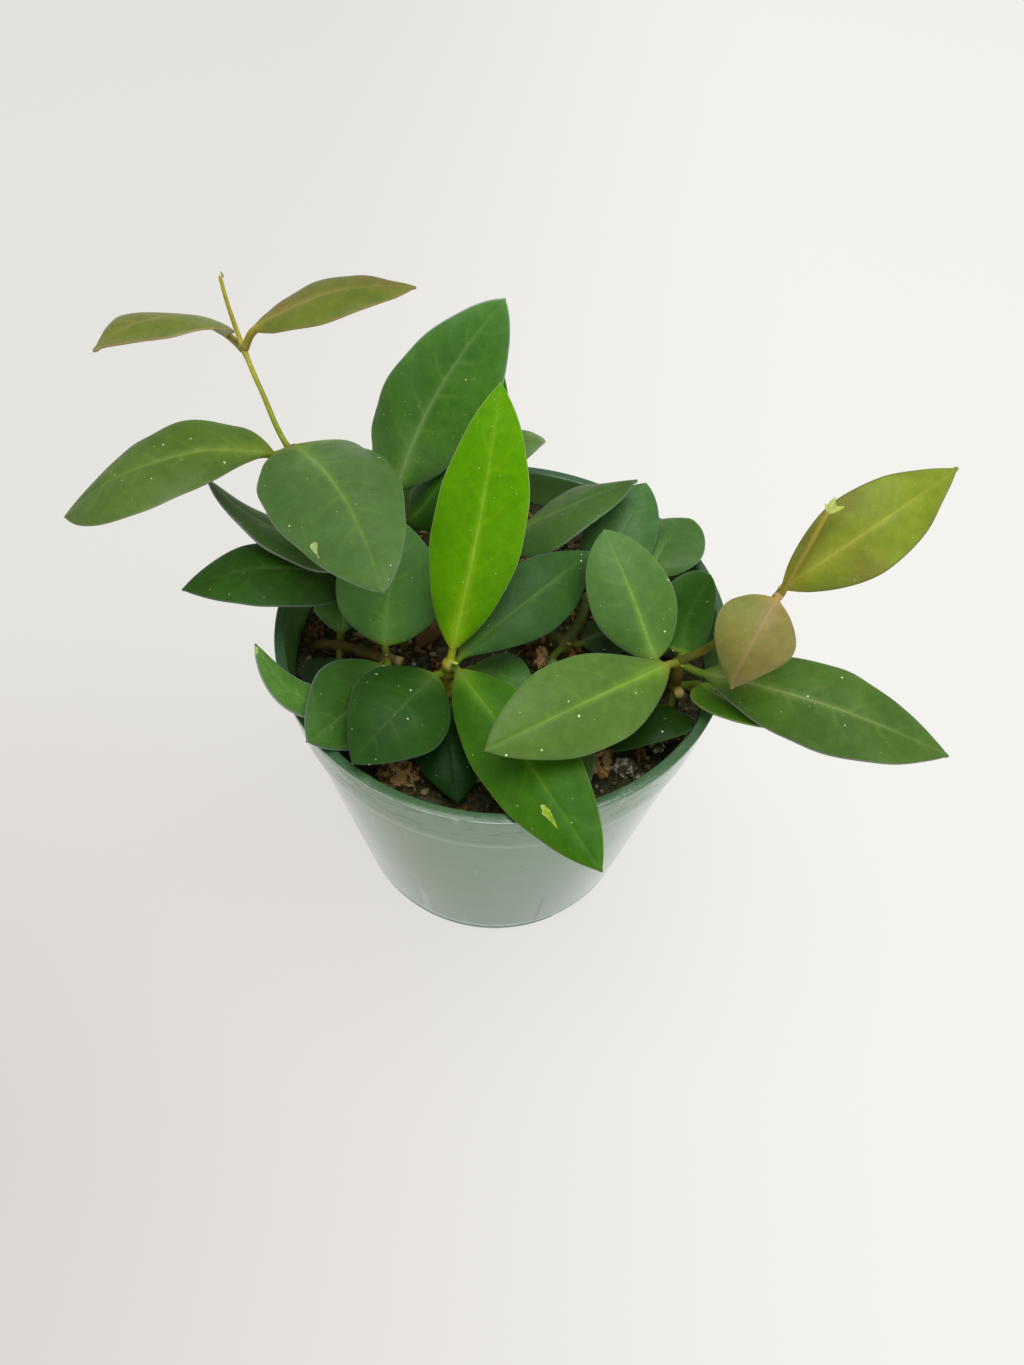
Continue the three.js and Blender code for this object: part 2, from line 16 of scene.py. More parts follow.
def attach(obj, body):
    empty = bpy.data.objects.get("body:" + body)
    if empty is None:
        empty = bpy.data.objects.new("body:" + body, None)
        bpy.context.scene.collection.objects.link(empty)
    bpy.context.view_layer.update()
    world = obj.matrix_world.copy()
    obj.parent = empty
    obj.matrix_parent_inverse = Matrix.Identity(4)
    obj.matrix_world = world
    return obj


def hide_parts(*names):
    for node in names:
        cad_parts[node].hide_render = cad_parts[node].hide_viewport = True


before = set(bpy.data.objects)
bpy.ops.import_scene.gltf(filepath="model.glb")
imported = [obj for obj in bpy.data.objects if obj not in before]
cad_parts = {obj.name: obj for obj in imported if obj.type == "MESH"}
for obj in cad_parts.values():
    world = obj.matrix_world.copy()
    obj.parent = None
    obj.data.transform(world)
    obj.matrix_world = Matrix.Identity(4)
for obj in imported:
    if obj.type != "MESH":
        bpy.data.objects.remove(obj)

bl_info = {
    "name": "Potted hoya",
    "version": (1, 0, 0),
    "blender": (4, 5, 0),
    "location": "3D View > Sidebar > Hoya",
    "description": "Builds a potted hoya: pot, potting mix, stems, waxy leaves and a studio stage",
    "category": "Add Mesh",
}

MM = 0.001
BODY = "root"


def tint(code):
    """Linear RGBA of a colour written as 0xRRGGBB."""
    parts = [((code >> shift) & 255) / 255 for shift in (16, 8, 0)]
    linear = [c / 12.92 if c <= 0.04045 else ((c + 0.055) / 1.055) ** 2.4 for c in parts]
    return (*linear, 1.0)


# ---------- The plant's plan ----------

NODES = {
    "leftVineLow": (-49, 18, 122),
    "leftVineTop": (-61, 36.5, 133.5),
    "leftRear": (-32, 4, 92),
    "leftLying": (-38, -6, 84),
    "leftEnd": (-26, -12, 88),
    "frontTop": (-11, -18, 96),
    "frontMid": (-11.5, -17.5, 92.5),
    "frontLow": (-12, -17, 84),
    "back": (-29, 26, 94),
    "rear": (-7, 34, 92),
    "middle": (15, 0, 83),
    "middleLeft": (4, 12, 89),
    "middleRight": (20, 10, 89),
    "middleEnd": (29, 12, 92),
    "rightLow": (40, -14, 88),
    "rightMid": (39.5, -14, 93),
    "rightTop": (39, -14.5, 97.5),
    "rightVine": (55.5, -13.5, 121),
}

# How much a stem swells at its nodes, the steps along it and the points around it.
NODE_SWELL = 1.3
STEM_STEP = 0.45
STEM_SIDES = 20

# Each vine's lines: (x, y, z, radius) or (node, radius). "woody" is how brown it is at its foot and tip,
# "light" how much paler than the others it is painted there, partly its own tone and partly painted light
# and shade, "young" where along it the skin turns yellow-tan, "shaded" how much painted shade dulls its
# green, "cut" which lines end in a cut and "corky" how pale that is.
STEMS = {
    "stem_left_vine": {
        "woody": (0.15, 0.1),
        "light": (1.0, 1.15),
        "young": (0.65, 0.9),
        "lines": [
            [(-24, 0, 0, 1.0), (-24, 0, 82, 0.9), (-26, 6, 91, 0.8), (-33, 14, 105, 0.7),
             ("leftVineLow", 0.65), (-56, 28, 129, 0.55), ("leftVineTop", 0.58),
             (-63.8, 40.3, 142, 0.45), (-65, 42.5, 147.5, 0.4)],
        ],
    },
    "stem_left": {
        "woody": (0.9, 0.75),
        "light": (0.45, 0.45),
        "cut": (0,),
        "lines": [
            [(-45, -4, 0, 1.3), (-45, -4, 79, 1.25), (-43, -5, 82.5, 1.2), ("leftLying", 1.2),
             ("leftEnd", 1.4), (-22.5, -13, 88.5, 1.3)],
        ],
    },
    "stem_left_rear": {
        "woody": (0.7, 0.4),
        "lines": [[(-31, 5, 0, 1.1), (-31, 5, 82, 1.1), ("leftRear", 1.1)]],
    },
    "stem_front": {
        "woody": (1.0, 0.3),
        "light": (2.2, 1.35),
        "lines": [
            [(-12, -17, 0, 1.4), (-12, -17, 79, 1.4), ("frontLow", 1.3), (-12.3, -17.5, 88, 1.3),
             ("frontMid", 1.3), ("frontTop", 1.3), (-10.6, -18, 97.5, 1.1)],
        ],
    },
    "stem_back": {
        "woody": (0.8, 0.4),
        "lines": [[(-29, 24, 0, 1.3), (-29, 24, 80, 1.3), (-29, 25, 88, 1.2), ("back", 1.2)]],
    },
    "stem_rear": {
        "woody": (0.8, 0.4),
        "lines": [[(-7, 33, 0, 1.1), (-7, 33, 80, 1.1), ("rear", 1.1)]],
    },
    "stem_middle": {
        "woody": (0.1, 0.02),
        "light": (0.9, 0.9),
        "shaded": 0.85,
        "lines": [
            [(15, 1, 0, 1.6), (15, 1, 79, 1.6), ("middle", 1.5), (18, 4, 86.5, 1.3), ("middleRight", 1.2),
             (25, 11.5, 91, 1.1), ("middleEnd", 1.0)],
            [("middle", 1.2), (10, 3, 84.5, 1.1), (6, 8, 87.5, 1.0), ("middleLeft", 1.0)],
        ],
    },
    "stem_right": {
        "woody": (0.6, 0.2),
        "light": (0.2, 0.95),
        "cut": (1,),
        "corky": 0.45,
        "young": (0.35, 0.8),
        "lines": [
            [(41, -13, 0, 1.3), (41, -13, 80, 1.3), ("rightLow", 1.3), ("rightMid", 1.2), ("rightTop", 1.1),
             (44, -14, 102, 0.85), (50, -14, 113, 0.78), ("rightVine", 0.75), (57.5, -11.5, 127, 0.58),
             (61.5, -6, 138, 0.55)],
            [("rightLow", 1.2), (40.6, -17.4, 89.8, 1.1)],
        ],
    },
}

# Buds and leaflets on the vines: place, direction, length, radius and how pale green each is.
BUDS = {
    "stem_front": [((-10.3, -18.8, 97.6), (0.5, -0.5, 0.9), 2.6, 0.7, 1.0)],
    "stem_left_vine": [((-64.2, 42.4, 147), (-0.3, 0.3, 1), 1.4, 0.35, 0.4)],
    "stem_right": [
        ((61.3, -6.2, 137.4), (0.95, 0.3, 0.5), 3.6, 0.75, 1.0),
        ((61.3, -6.2, 137.4), (0.3, 0.3, 0.95), 3.4, 0.7, 1.0),
        ((61.4, -6.1, 137.5), (0.7, 0.5, 0.8), 2.2, 0.6, 0.8),
        ((61.3, -6.3, 137.5), (-0.2, 0.5, 0.9), 2.0, 0.5, 0.9),
        ((39.6, -15.6, 98), (0.2, -0.6, 0.8), 1.5, 0.6, 0.0),
    ],
    "stem_middle": [((15.5, -1.2, 84.5), (0.2, -0.5, 0.8), 1.8, 0.7, 0.3)],
}

# Name, node, the blade's base and tip, its width, its tone and how it lies: roll turns the blade about
# its length, twist winds it, arch lifts its middle and sway bends it sideways.
LEAVES = [
    ("leaf_left_vine_1", "leftVineTop", (-66, 41.5, 133.5), (-87, 21, 142.5), 21, "flushed",
     {"roll": 17, "arch": 5.5, "sway": -2, "twist": 33, "belly": 0.45, "point": 1.25, "skew": 0.07}),
    ("leaf_left_vine_2", "leftVineTop", (-58, 37.5, 138), (-24, 48, 144), 15.5, "flushed",
     {"roll": -2, "arch": 3.5, "belly": 0.45, "point": 0.9}),
    ("leaf_left_vine_3", "leftVineLow", (-52, 14.5, 123.5), (-92, -4.5, 120), 22, "mid",
     {"arch": 10, "sway": -3.5, "twist": -31, "belly": 0.48, "point": 0.85, "skew": -0.14}),
    ("leaf_left_vine_4", "leftVineLow", (-47, 15.5, 125), (-22, -28.5, 131.5), 29, "grey",
     {"roll": 1, "arch": 3.5, "sway": -2, "twist": -16, "belly": 0.3, "point": 0.7, "skew": 0.09}),
    ("leaf_left_1", "leftRear", (-33.5, 7.5, 100), (-67.5, 14, 115), 17.5, "deep",
     {"roll": 27, "arch": -3.5, "twist": -15, "belly": 0.41, "point": 0.7, "skew": 0.02}),
    ("leaf_left_2", "leftRear", (-37, 4, 94), (-71, -7, 102), 20, "dark", {"arch": 6}),
    ("leaf_left_3", "leftEnd", (-26.3, -11, 92), (-25.7, 12, 110), 24.5, "mid", {"roll": 6, "arch": 2}),
    ("leaf_left_4", "leftLying", (-38.5, -2.5, 84.5), (-45, 8.5, 90.5), 12.5, "dark",
     {"roll": 3, "arch": 3.5, "sway": 2}),
    ("leaf_left_5", "leftEnd", (-32, -24, 89), (-52, -21, 102.5), 7.5, "dark",
     {"roll": -11, "arch": 2, "sway": -6.5, "belly": 0.4, "point": 0.72, "skew": 0.03}),
    ("leaf_left_6", "leftEnd", (-25.5, -17, 91.5), (-39, -39, 94), 20.5, "dark",
     {"roll": -33, "arch": 0.5, "sway": -1, "belly": 0.41, "point": 0.8, "skew": 0.03}),
    ("leaf_left_7", "leftLying", (-38, -10, 83), (-42, -21, 85), 13, "deep", {"roll": -10, "arch": 1}),
    ("leaf_front_1", "frontTop", (-10.5, -15.5, 98.5), (-3.5, 19.5, 142.5), 19.5, "bright",
     {"roll": 8, "arch": 4.5, "sway": 1, "twist": -9, "belly": 0.48, "point": 0.84, "skew": 0.02}),
    ("leaf_front_2", "frontTop", (-9, -20, 96.5), (23, -63, 92), 20, "dark",
     {"roll": 15, "arch": 1, "sway": -0.5, "twist": -7, "belly": 0.46, "point": 0.85}),
    ("leaf_front_3", "frontMid", (-9, -15, 94.5), (19, 13, 101.5), 17.5, "mid",
     {"roll": 22, "arch": 3.5, "twist": -15, "belly": 0.5, "point": 0.92, "skew": 0.05}),
    ("leaf_front_4", "frontMid", (-14, -20.5, 94.5), (-29, -43, 93), 22, "dark", {"roll": -15, "arch": 4}),
    ("leaf_front_5", "frontLow", (-12, -21, 84), (-7, -44, 81), 17, "deep", {"arch": 3}),
    ("leaf_front_6", "frontLow", (-6, -10, 84), (8, -16, 86), 13, "grey", {"roll": 10, "arch": 1}),
    ("leaf_back_1", "back", (-27.5, 27.5, 103), (-4, 38.5, 149), 25, "dark",
     {"roll": 43, "arch": 2, "sway": -2.5, "twist": -25, "belly": 0.4, "point": 0.75, "skew": 0.11}),
    ("leaf_back_2", "back", (-25, 27, 93.5), (-4.5, 47.5, 124.5), 19, "deep",
     {"roll": 10, "arch": 7.5, "sway": 6, "twist": -50, "belly": 0.4, "point": 0.8, "skew": 0.03}),
    ("leaf_rear_1", "rear", (-3, 40, 99), (6.5, 51.5, 100.5), 11, "mid",
     {"roll": -8, "arch": 5.5, "belly": 0.47, "point": 0.6}),
    ("leaf_rear_2", "rear", (-9.5, 30, 93.5), (-17, 12, 91), 13, "deep", {"arch": 1}),
    ("leaf_middle_1", "middleLeft", (0.5, 23, 94), (29.5, 33, 106), 23.5, "mid",
     {"roll": -22, "arch": 3, "sway": 4, "belly": 0.42, "point": 1.1, "skew": -0.1}),
    ("leaf_middle_2", "middleRight", (20.5, 14.5, 91.5), (32.5, 37.5, 101), 17.5, "mid",
     {"roll": 8, "arch": 1, "sway": 1, "belly": 0.42, "point": 0.7, "skew": -0.02}),
    ("leaf_middle_3", "middleEnd", (35, 16, 91), (45, 33.5, 93.5), 18, "grey",
     {"roll": -7, "arch": 2, "sway": -1, "twist": 6, "belly": 0.49, "point": 0.5}),
    ("leaf_middle_4", "middle", (19, 0, 83.5), (34, 5, 86), 12, "deep", {"arch": 1}),
    ("leaf_middle_5", "middle", (12, -5, 82.5), (21, -39, 82), 11, "deep", {"arch": 2}),
    ("leaf_right_1", "rightTop", (36, -18, 101), (-1.5, -45, 105), 20.5, "pale",
     {"roll": -24, "arch": 3, "twist": 12, "belly": 0.5, "point": 0.86, "skew": 0.03}),
    ("leaf_right_2", "rightTop", (44.5, -17, 97.5), (94.5, -34.5, 98), 19.5, "dark",
     {"roll": 15, "arch": 7, "sway": 1, "twist": 8, "belly": 0.48, "point": 0.92, "skew": 0.02}),
    ("leaf_right_3", "rightMid", (34.5, -12, 95), (21, 9.5, 112.5), 19, "grey",
     {"roll": -14, "arch": 1.5, "twist": -5, "belly": 0.47, "point": 0.7, "skew": -0.02}),
    ("leaf_right_4", "rightMid", (40.5, -10, 94.5), (47, 9, 100.5), 15.5, "dark",
     {"roll": 32, "arch": -2, "sway": -1, "twist": -9, "belly": 0.47, "point": 0.5}),
    ("leaf_right_5", "rightLow", (45, -16, 91.5), (61, -29, 98), 11, "dark",
     {"roll": -15, "sway": 1, "twist": -5, "belly": 0.38, "point": 0.5, "skew": -0.06}),
    ("leaf_right_6", "rightLow", (39, -18, 84.5), (25.5, -32.5, 87.5), 21, "deep",
     {"roll": 21, "arch": 4, "twist": 13, "belly": 0.37, "point": 0.82, "skew": 0.02}),
    ("leaf_right_vine_1", "rightVine", (54.5, -15.5, 121.5), (48, -27, 106.5), 17, "bronze",
     {"roll": -13, "arch": 4.5, "sway": 1, "twist": -3, "belly": 0.35, "point": 1.1, "skew": -0.02}),
    ("leaf_right_vine_2", "rightVine", (57, -10.5, 120), (89.5, 9, 137.5), 17, "olive",
     {"roll": 27, "arch": 8.5, "twist": -8, "belly": 0.42, "point": 1.1}),
]

# How a leaf differs from its tone: light scales its shade and warm and cool its red and blue, partly the
# leaf's own tone and partly painted light and shade, low for leaves deep in the plant's shade; rib its
# midrib, dusty adds white specks, flush_side keeps the flush to one side and scar is a torn spot: its share
# along the blade, its place across it and its half length and half width in millimetres. It narrows to a
# tail towards the tip, and dry is how far it has healed over.
PLAIN_LOOKS = {"light": 1.0, "warm": 1.0, "cool": 1.0, "rib": 0.65, "dusty": 0.0, "dry": 0.0}
LOOKS = {
    "leaf_left_vine_1": {"light": 0.9, "warm": 1.35, "cool": 1.8, "flush_side": 1},
    "leaf_left_vine_2": {"light": 0.8, "warm": 1.3, "cool": 1.2, "flush_side": -1},
    "leaf_left_vine_3": {"light": 0.85, "warm": 1.35, "rib": 0.5},
    "leaf_left_vine_4": {"light": 0.75, "cool": 0.9, "rib": 0.85, "dry": 0.8, "scar": (0.7, 9.3, 1.1, 0.8)},
    "leaf_left_1": {"light": 1.4, "warm": 1.6, "cool": 1.9},
    "leaf_left_2": {"light": 0.7, "warm": 1.15, "cool": 1.8, "rib": 0.3},
    "leaf_left_3": {"light": 1.15, "warm": 0.95, "cool": 1.2, "rib": 0.3},
    "leaf_left_4": {"light": 1.5, "warm": 1.15, "cool": 2.2},
    "leaf_left_5": {"light": 1.5, "warm": 1.35, "cool": 2.3, "rib": 0.15, "dry": 0.5,
                    "scar": (0.97, -0.6, 0.7, 0.6)},
    "leaf_left_6": {"light": 0.95, "warm": 1.25, "cool": 2.4, "rib": 0.4, "dusty": 1},
    "leaf_left_7": {"light": 0.35, "warm": 1.6, "cool": 3},
    "leaf_front_1": {"light": 0.85},
    "leaf_front_2": {"light": 0.95, "warm": 0.95, "cool": 0.5, "rib": 0.5, "scar": (0.71, 2.6, 2, 0.9)},
    "leaf_front_3": {"light": 0.6, "warm": 0.85, "cool": 1.1},
    "leaf_front_4": {"light": 0.55, "warm": 1.05, "cool": 1.8, "rib": 0.3, "dusty": 1},
    "leaf_front_5": {"light": 0.35, "warm": 0.6, "cool": 0.6},
    "leaf_front_6": {"light": 0.85, "warm": 0.8, "cool": 0.7, "rib": 0.3},
    "leaf_back_1": {"light": 1.7, "warm": 1.25, "cool": 2.3, "rib": 0.45, "dusty": 1},
    "leaf_back_2": {"light": 1.15, "warm": 0.8, "cool": 0.4},
    "leaf_rear_1": {"light": 1.1, "warm": 1.4, "cool": 1.5, "rib": 0.2},
    "leaf_middle_1": {"light": 0.7, "warm": 1.1, "cool": 1.1, "rib": 0.5},
    "leaf_middle_2": {"light": 0.9, "cool": 1.6, "rib": 0.3},
    "leaf_middle_3": {"light": 0.8, "warm": 0.95, "cool": 0.9, "rib": 0.15},
    "leaf_middle_4": {"light": 0.49, "warm": 1.5, "cool": 1.9},
    "leaf_middle_5": {"light": 1.7, "warm": 1.6, "cool": 2.1},
    "leaf_right_1": {"light": 0.75, "warm": 0.85, "cool": 0.8, "rib": 0.95},
    "leaf_right_2": {"light": 1.05, "warm": 1.5, "cool": 2},
    "leaf_right_3": {"light": 0.95, "warm": 0.95, "cool": 0.8, "rib": 0.9},
    "leaf_right_4": {"light": 0.55, "warm": 0.95, "rib": 0.2},
    "leaf_right_5": {"light": 1.2, "warm": 1.2, "cool": 0.7},
    "leaf_right_6": {"light": 0.35, "warm": 0.9, "cool": 0.6},
    "leaf_right_vine_1": {"light": 0.8, "warm": 0.9, "cool": 0.9, "rib": 0.9, "flush_side": 1},
    "leaf_right_vine_2": {"light": 0.7, "warm": 1.05, "cool": 1.1, "rib": 0.8},
}

PETIOLE_RADIUS = 0.85

# A blade's thickness at its middle and edge, how much it cups and folds, where it is widest and how it
# narrows to its point, its least half width and how blunt its tip is, as a share of its width.
BLADE = {"mid": 1.3, "edge": 0.5, "cup": 0.24, "fold": 0.1, "belly": 0.43, "point": 0.85, "tip": 0.3,
         "blunt": 0.03}

# How a torn spot's tail is drawn out and narrows, what stands for no spot, and places too far from a spot
# or a margin to show any of it.
SCAR_TAIL = {"stretch": 0.45, "narrow": 1.2}
NO_SCAR = (9, 9, 0.1, 0.1)
OFF_SCAR = 99
OFF_MARGIN = 9

# Cross-sections along a petiole and a blade, pairs of side veins, and the points across half a blade.
ROWS = {"petiole": 12, "blade": 64}
VEIN_PAIRS = 5.5
ACROSS = (0, 0.03, 0.07, 0.12, 0.19, 0.28, 0.38, 0.49, 0.6, 0.7, 0.79, 0.87, 0.93, 0.97, 1)

# Tones of the leaves: the blade's two shades, its ribs, its margin, its flush, the grey-green of its
# painted sheen and its stalk, how far the flush and the painted sheen spread, and how strongly the skin
# reflects.
TONES = {
    "dark": {"shade": 0x2B580A, "light": 0x386A10, "rib": 0x6C9A2C, "margin": 0x6F8A5E, "flush": 0x4A5A22,
             "painted_sheen": 0x6F8F50, "spread": 0.0, "painted_sheen_share": 0.1, "gloss": 0.09, "stalk": 0x5E6A20},
    # deep is a darker copy of the dark tone for the low leaves that lie in the plant's shade: painted
    # shade.
    "deep": {"shade": 0x1D460A, "light": 0x2A5612, "rib": 0x4F7C28, "margin": 0x5F7C58, "flush": 0x3A4A22,
             "painted_sheen": 0x6A8A56, "spread": 0.0, "painted_sheen_share": 0.12, "gloss": 0.09, "stalk": 0x56601E},
    "mid": {"shade": 0x3C651F, "light": 0x4A7628, "rib": 0x78A432, "margin": 0x76906A, "flush": 0x5A6A2A,
            "painted_sheen": 0x6F8F5E, "spread": 0.0, "painted_sheen_share": 0.15, "gloss": 0.14, "stalk": 0x667024},
    # grey leaves carry the most painted sheen, which greys them.
    "grey": {"shade": 0x466B2E, "light": 0x547A38, "rib": 0x7CA63C, "margin": 0x7E9476, "flush": 0x5A6A3A,
             "painted_sheen": 0x6F8F5A, "spread": 0.0, "painted_sheen_share": 0.25, "gloss": 0.17, "stalk": 0x667024},
    "pale": {"shade": 0x557526, "light": 0x63842E, "rib": 0x92B432, "margin": 0x7F9066, "flush": 0x7A7A3A,
             "painted_sheen": 0x7A9560, "spread": 0.1, "painted_sheen_share": 0.2, "gloss": 0.16, "stalk": 0x767424},
    "bright": {"shade": 0x519000, "light": 0x5E9C00, "rib": 0xA4CC10, "margin": 0x9CB868, "flush": 0x6F8A1A,
               "painted_sheen": 0x7A9E30, "spread": 0.0, "painted_sheen_share": 0.06, "gloss": 0.04, "stalk": 0x7A8020},
    "olive": {"shade": 0x7E9A1A, "light": 0x94B22A, "rib": 0xC0C838, "margin": 0x7A5A3E, "flush": 0x8C7440,
              "painted_sheen": 0x9AA060, "spread": 0.4, "painted_sheen_share": 0.08, "gloss": 0.14, "stalk": 0xA09440},
    "bronze": {"shade": 0x8C7C40, "light": 0x988848, "rib": 0xB48C62, "margin": 0xB0A880, "flush": 0x82903A,
               "painted_sheen": 0xA09A78, "spread": 0.5, "painted_sheen_share": 0.15, "gloss": 0.14, "stalk": 0xA08848},
    "flushed": {"shade": 0x527010, "light": 0x627E18, "rib": 0x86963A, "margin": 0x96944C,
                "flush": 0x74682E, "painted_sheen": 0x86926A, "spread": 0.6, "painted_sheen_share": 0.15, "gloss": 0.16,
                "stalk": 0x988634},
}

# Loose pieces: node, centre, half sizes, what it is made of and how pale it is, from 0 to 1, partly its
# own tone and partly painted light where it lies in shade.
CHIPS = [
    ("bark_left", (-46.5, 2, 77.5), (2.2, 3.4, 1.6), "bark", 0.1),
    ("bark_left_small", (-42, 8, 77.6), (2.4, 1.8, 1.4), "bark", 0.3),
    ("bark_middle", (9.5, -1.5, 78), (1.6, 3.2, 1.4), "bark", 1.0),
    ("bark_middle_dark", (6, 4, 78), (3, 2.6, 1.6), "bark", 0.1),
    ("bark_fibrous", (-21, -36, 77.6), (4.2, 3.2, 1.6), "bark", 0.6),
    ("bark_right", (24, -29, 77.6), (2.6, 3.4, 1.8), "bark", 1.0),
    ("bark_edge", (42.5, -20, 77.6), (1.6, 2, 1.2), "bark", 0.5),
    ("perlite_front", (29.5, -30.5, 78), (2.8, 2.4, 2), "perlite", 0.7),
    ("perlite_side", (33.5, -33, 77.8), (1.8, 1.6, 1.4), "perlite", 0.5),
    ("perlite_right", (37, -24, 77.8), (1.8, 1.8, 1.4), "perlite", 1.0),
]
DEAD_LEAF = {
    "start": (-20.5, -2.3, 78.4),
    "base": (-20.3, -0.5, 78.9),
    "tip": (-16.5, 10.5, 80.5),
    "width": 7,
    "lie": {"roll": 30, "arch": 2.5, "twist": 30},
    "seed": 5,
}

# The pot's heights and outside radii. Its band is the proud strip below the rim, a step out from the wall,
# and its foot has notches, each with a drain hole behind it that they overlap a little.
POT = {
    "height": 90,
    "rim": 53,
    "rim_round": 0.5,
    "lip": 2.4,
    "band": 15,
    "band_low": 51.3,
    "step": 0.8,
    "base": 39.5,
    "round": 1.2,
    "groove": 0.18,
    "floor": 1.6,
    "wall": 1.2,
    "slots": 4,
    "slot_turn": -52,
    "slot_width": 13.5,
    "slot_height": 2.4,
    "slot_depth": 1.6,
    "drain_width": 7,
    "drain_length": 5,
    "drain_overlap": 0.1,
    "sides": 288,
}
BAND_FOOT = POT["height"] - POT["band"]
WALL_SLOPE = (POT["band_low"] - POT["step"] - POT["base"]) / (BAND_FOOT - POT["step"])

# A dirty run on the wall: its bearing in degrees, its half width, and the heights where it comes and goes.
STAIN = {"turn": -70, "half": 0.5, "foot": (2.5, 4.5), "top": (25, 31)}

# The level of the mix, how high and over what depth it banks up at the back, the height of a ring halfway
# up, how far it stays off the pot there and at its top, and the points and rings of its surface.
MIX = {"level": 77, "bank": 3, "bank_from": 34, "bank_to": 50, "middle": 40, "gap": 0.3, "top_gap": 0.15,
       "sides": 264, "rings": 92}

# The usual viewpoint: its place, how far it looks down and leans over, and its focal length and the height
# of the picture, both in the same measure.
VIEW = {"place": (2.88, -150.92, 277.17), "pitch": 54.52, "roll": 3.87, "focal": 1025, "tall": 1365}


# ---------- Mesh helpers ----------

def unit(v):
    """v at length one, or each row of v."""
    return v / np.linalg.norm(v, axis=-1, keepdims=True)


def smoothstep(x, low, high):
    """0 below low, 1 above high and an even slope between them."""
    t = np.clip((x - low) / (high - low), 0, 1)
    return t * t * (3 - 2 * t)


def add_layers(mesh, layers):
    """Gives a mesh its layers, each a number for every point."""
    for layer, values in layers.items():
        attribute = mesh.attributes.new(layer, "FLOAT", "POINT")
        attribute.data.foreach_set("value", np.asarray(values, dtype=np.float32))


def solid_piece(name, points, faces, material, layers=None):
    """A smooth mesh object from points in millimetres."""
    mesh = bpy.data.meshes.new(name)
    mesh.from_pydata((np.asarray(points) * MM).tolist(), [], faces)
    add_layers(mesh, layers or {})
    work = bmesh.new()
    work.from_mesh(mesh)
    bmesh.ops.recalc_face_normals(work, faces=work.faces)
    work.to_mesh(mesh)
    work.free()
    mesh.polygons.foreach_set("use_smooth", [True] * len(mesh.polygons))
    piece = bpy.data.objects.new(name, mesh)
    bpy.context.scene.collection.objects.link(piece)
    piece.data.materials.append(material)
    return piece


def settle(piece, slot, *nodes):
    """Fixes a piece to the plant's body, in the place of the named nodes, whose own parts it hides. Its
    slot is not used.
    """
    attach(piece, BODY)
    if nodes:
        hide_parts(*nodes)


def joined(parts):
    """Points, faces and layers of many bodies as those of one mesh."""
    points, faces, layers = [], [], {}
    count = 0
    for part_points, part_faces, part_layers in parts:
        points.append(part_points)
        faces.extend(tuple(i + count for i in face) for face in part_faces)
        for layer, values in part_layers.items():
            layers.setdefault(layer, []).append(values)
        count += len(part_points)
    return np.concatenate(points), faces, {k: np.concatenate(v) for k, v in layers.items()}


def tube_faces(rows, sides):
    """Faces of a closed tube of rows of points, with a flat face at each end."""
    faces = []
    for i in range(rows - 1):
        for j in range(sides):
            a, b = i * sides + j, i * sides + (j + 1) % sides
            faces.append((a, b, b + sides, a + sides))
    faces.append(tuple(range(sides)))
    faces.append(tuple(range((rows - 1) * sides, rows * sides)))
    return faces


def smooth_line(points, place):
    """A point on the centripetal Catmull-Rom curve through points, place spans along it."""
    last = len(points) - 1
    i = min(int(place), last - 1)
    w = place - i
    p1, p2 = points[i], points[i + 1]
    p0 = points[i - 1] if i > 0 else 2 * p1 - p2
    p3 = points[i + 2] if i + 2 <= last else 2 * p2 - p1
    d0, d1, d2 = (math.sqrt(np.linalg.norm(b - a)) for a, b in ((p0, p1), (p1, p2), (p2, p3)))
    t1 = ((p1 - p0) / d0 - (p2 - p0) / (d0 + d1) + (p2 - p1) / d1) * d1
    t2 = ((p2 - p1) / d1 - (p3 - p1) / (d1 + d2) + (p3 - p2) / d2) * d1
    square = -3 * p1 + 3 * p2 - 2 * t1 - t2
    cube = 2 * p1 - 2 * p2 + t1 + t2
    return p1 + t1 * w + square * w**2 + cube * w**3


# ---------- Shader helpers ----------

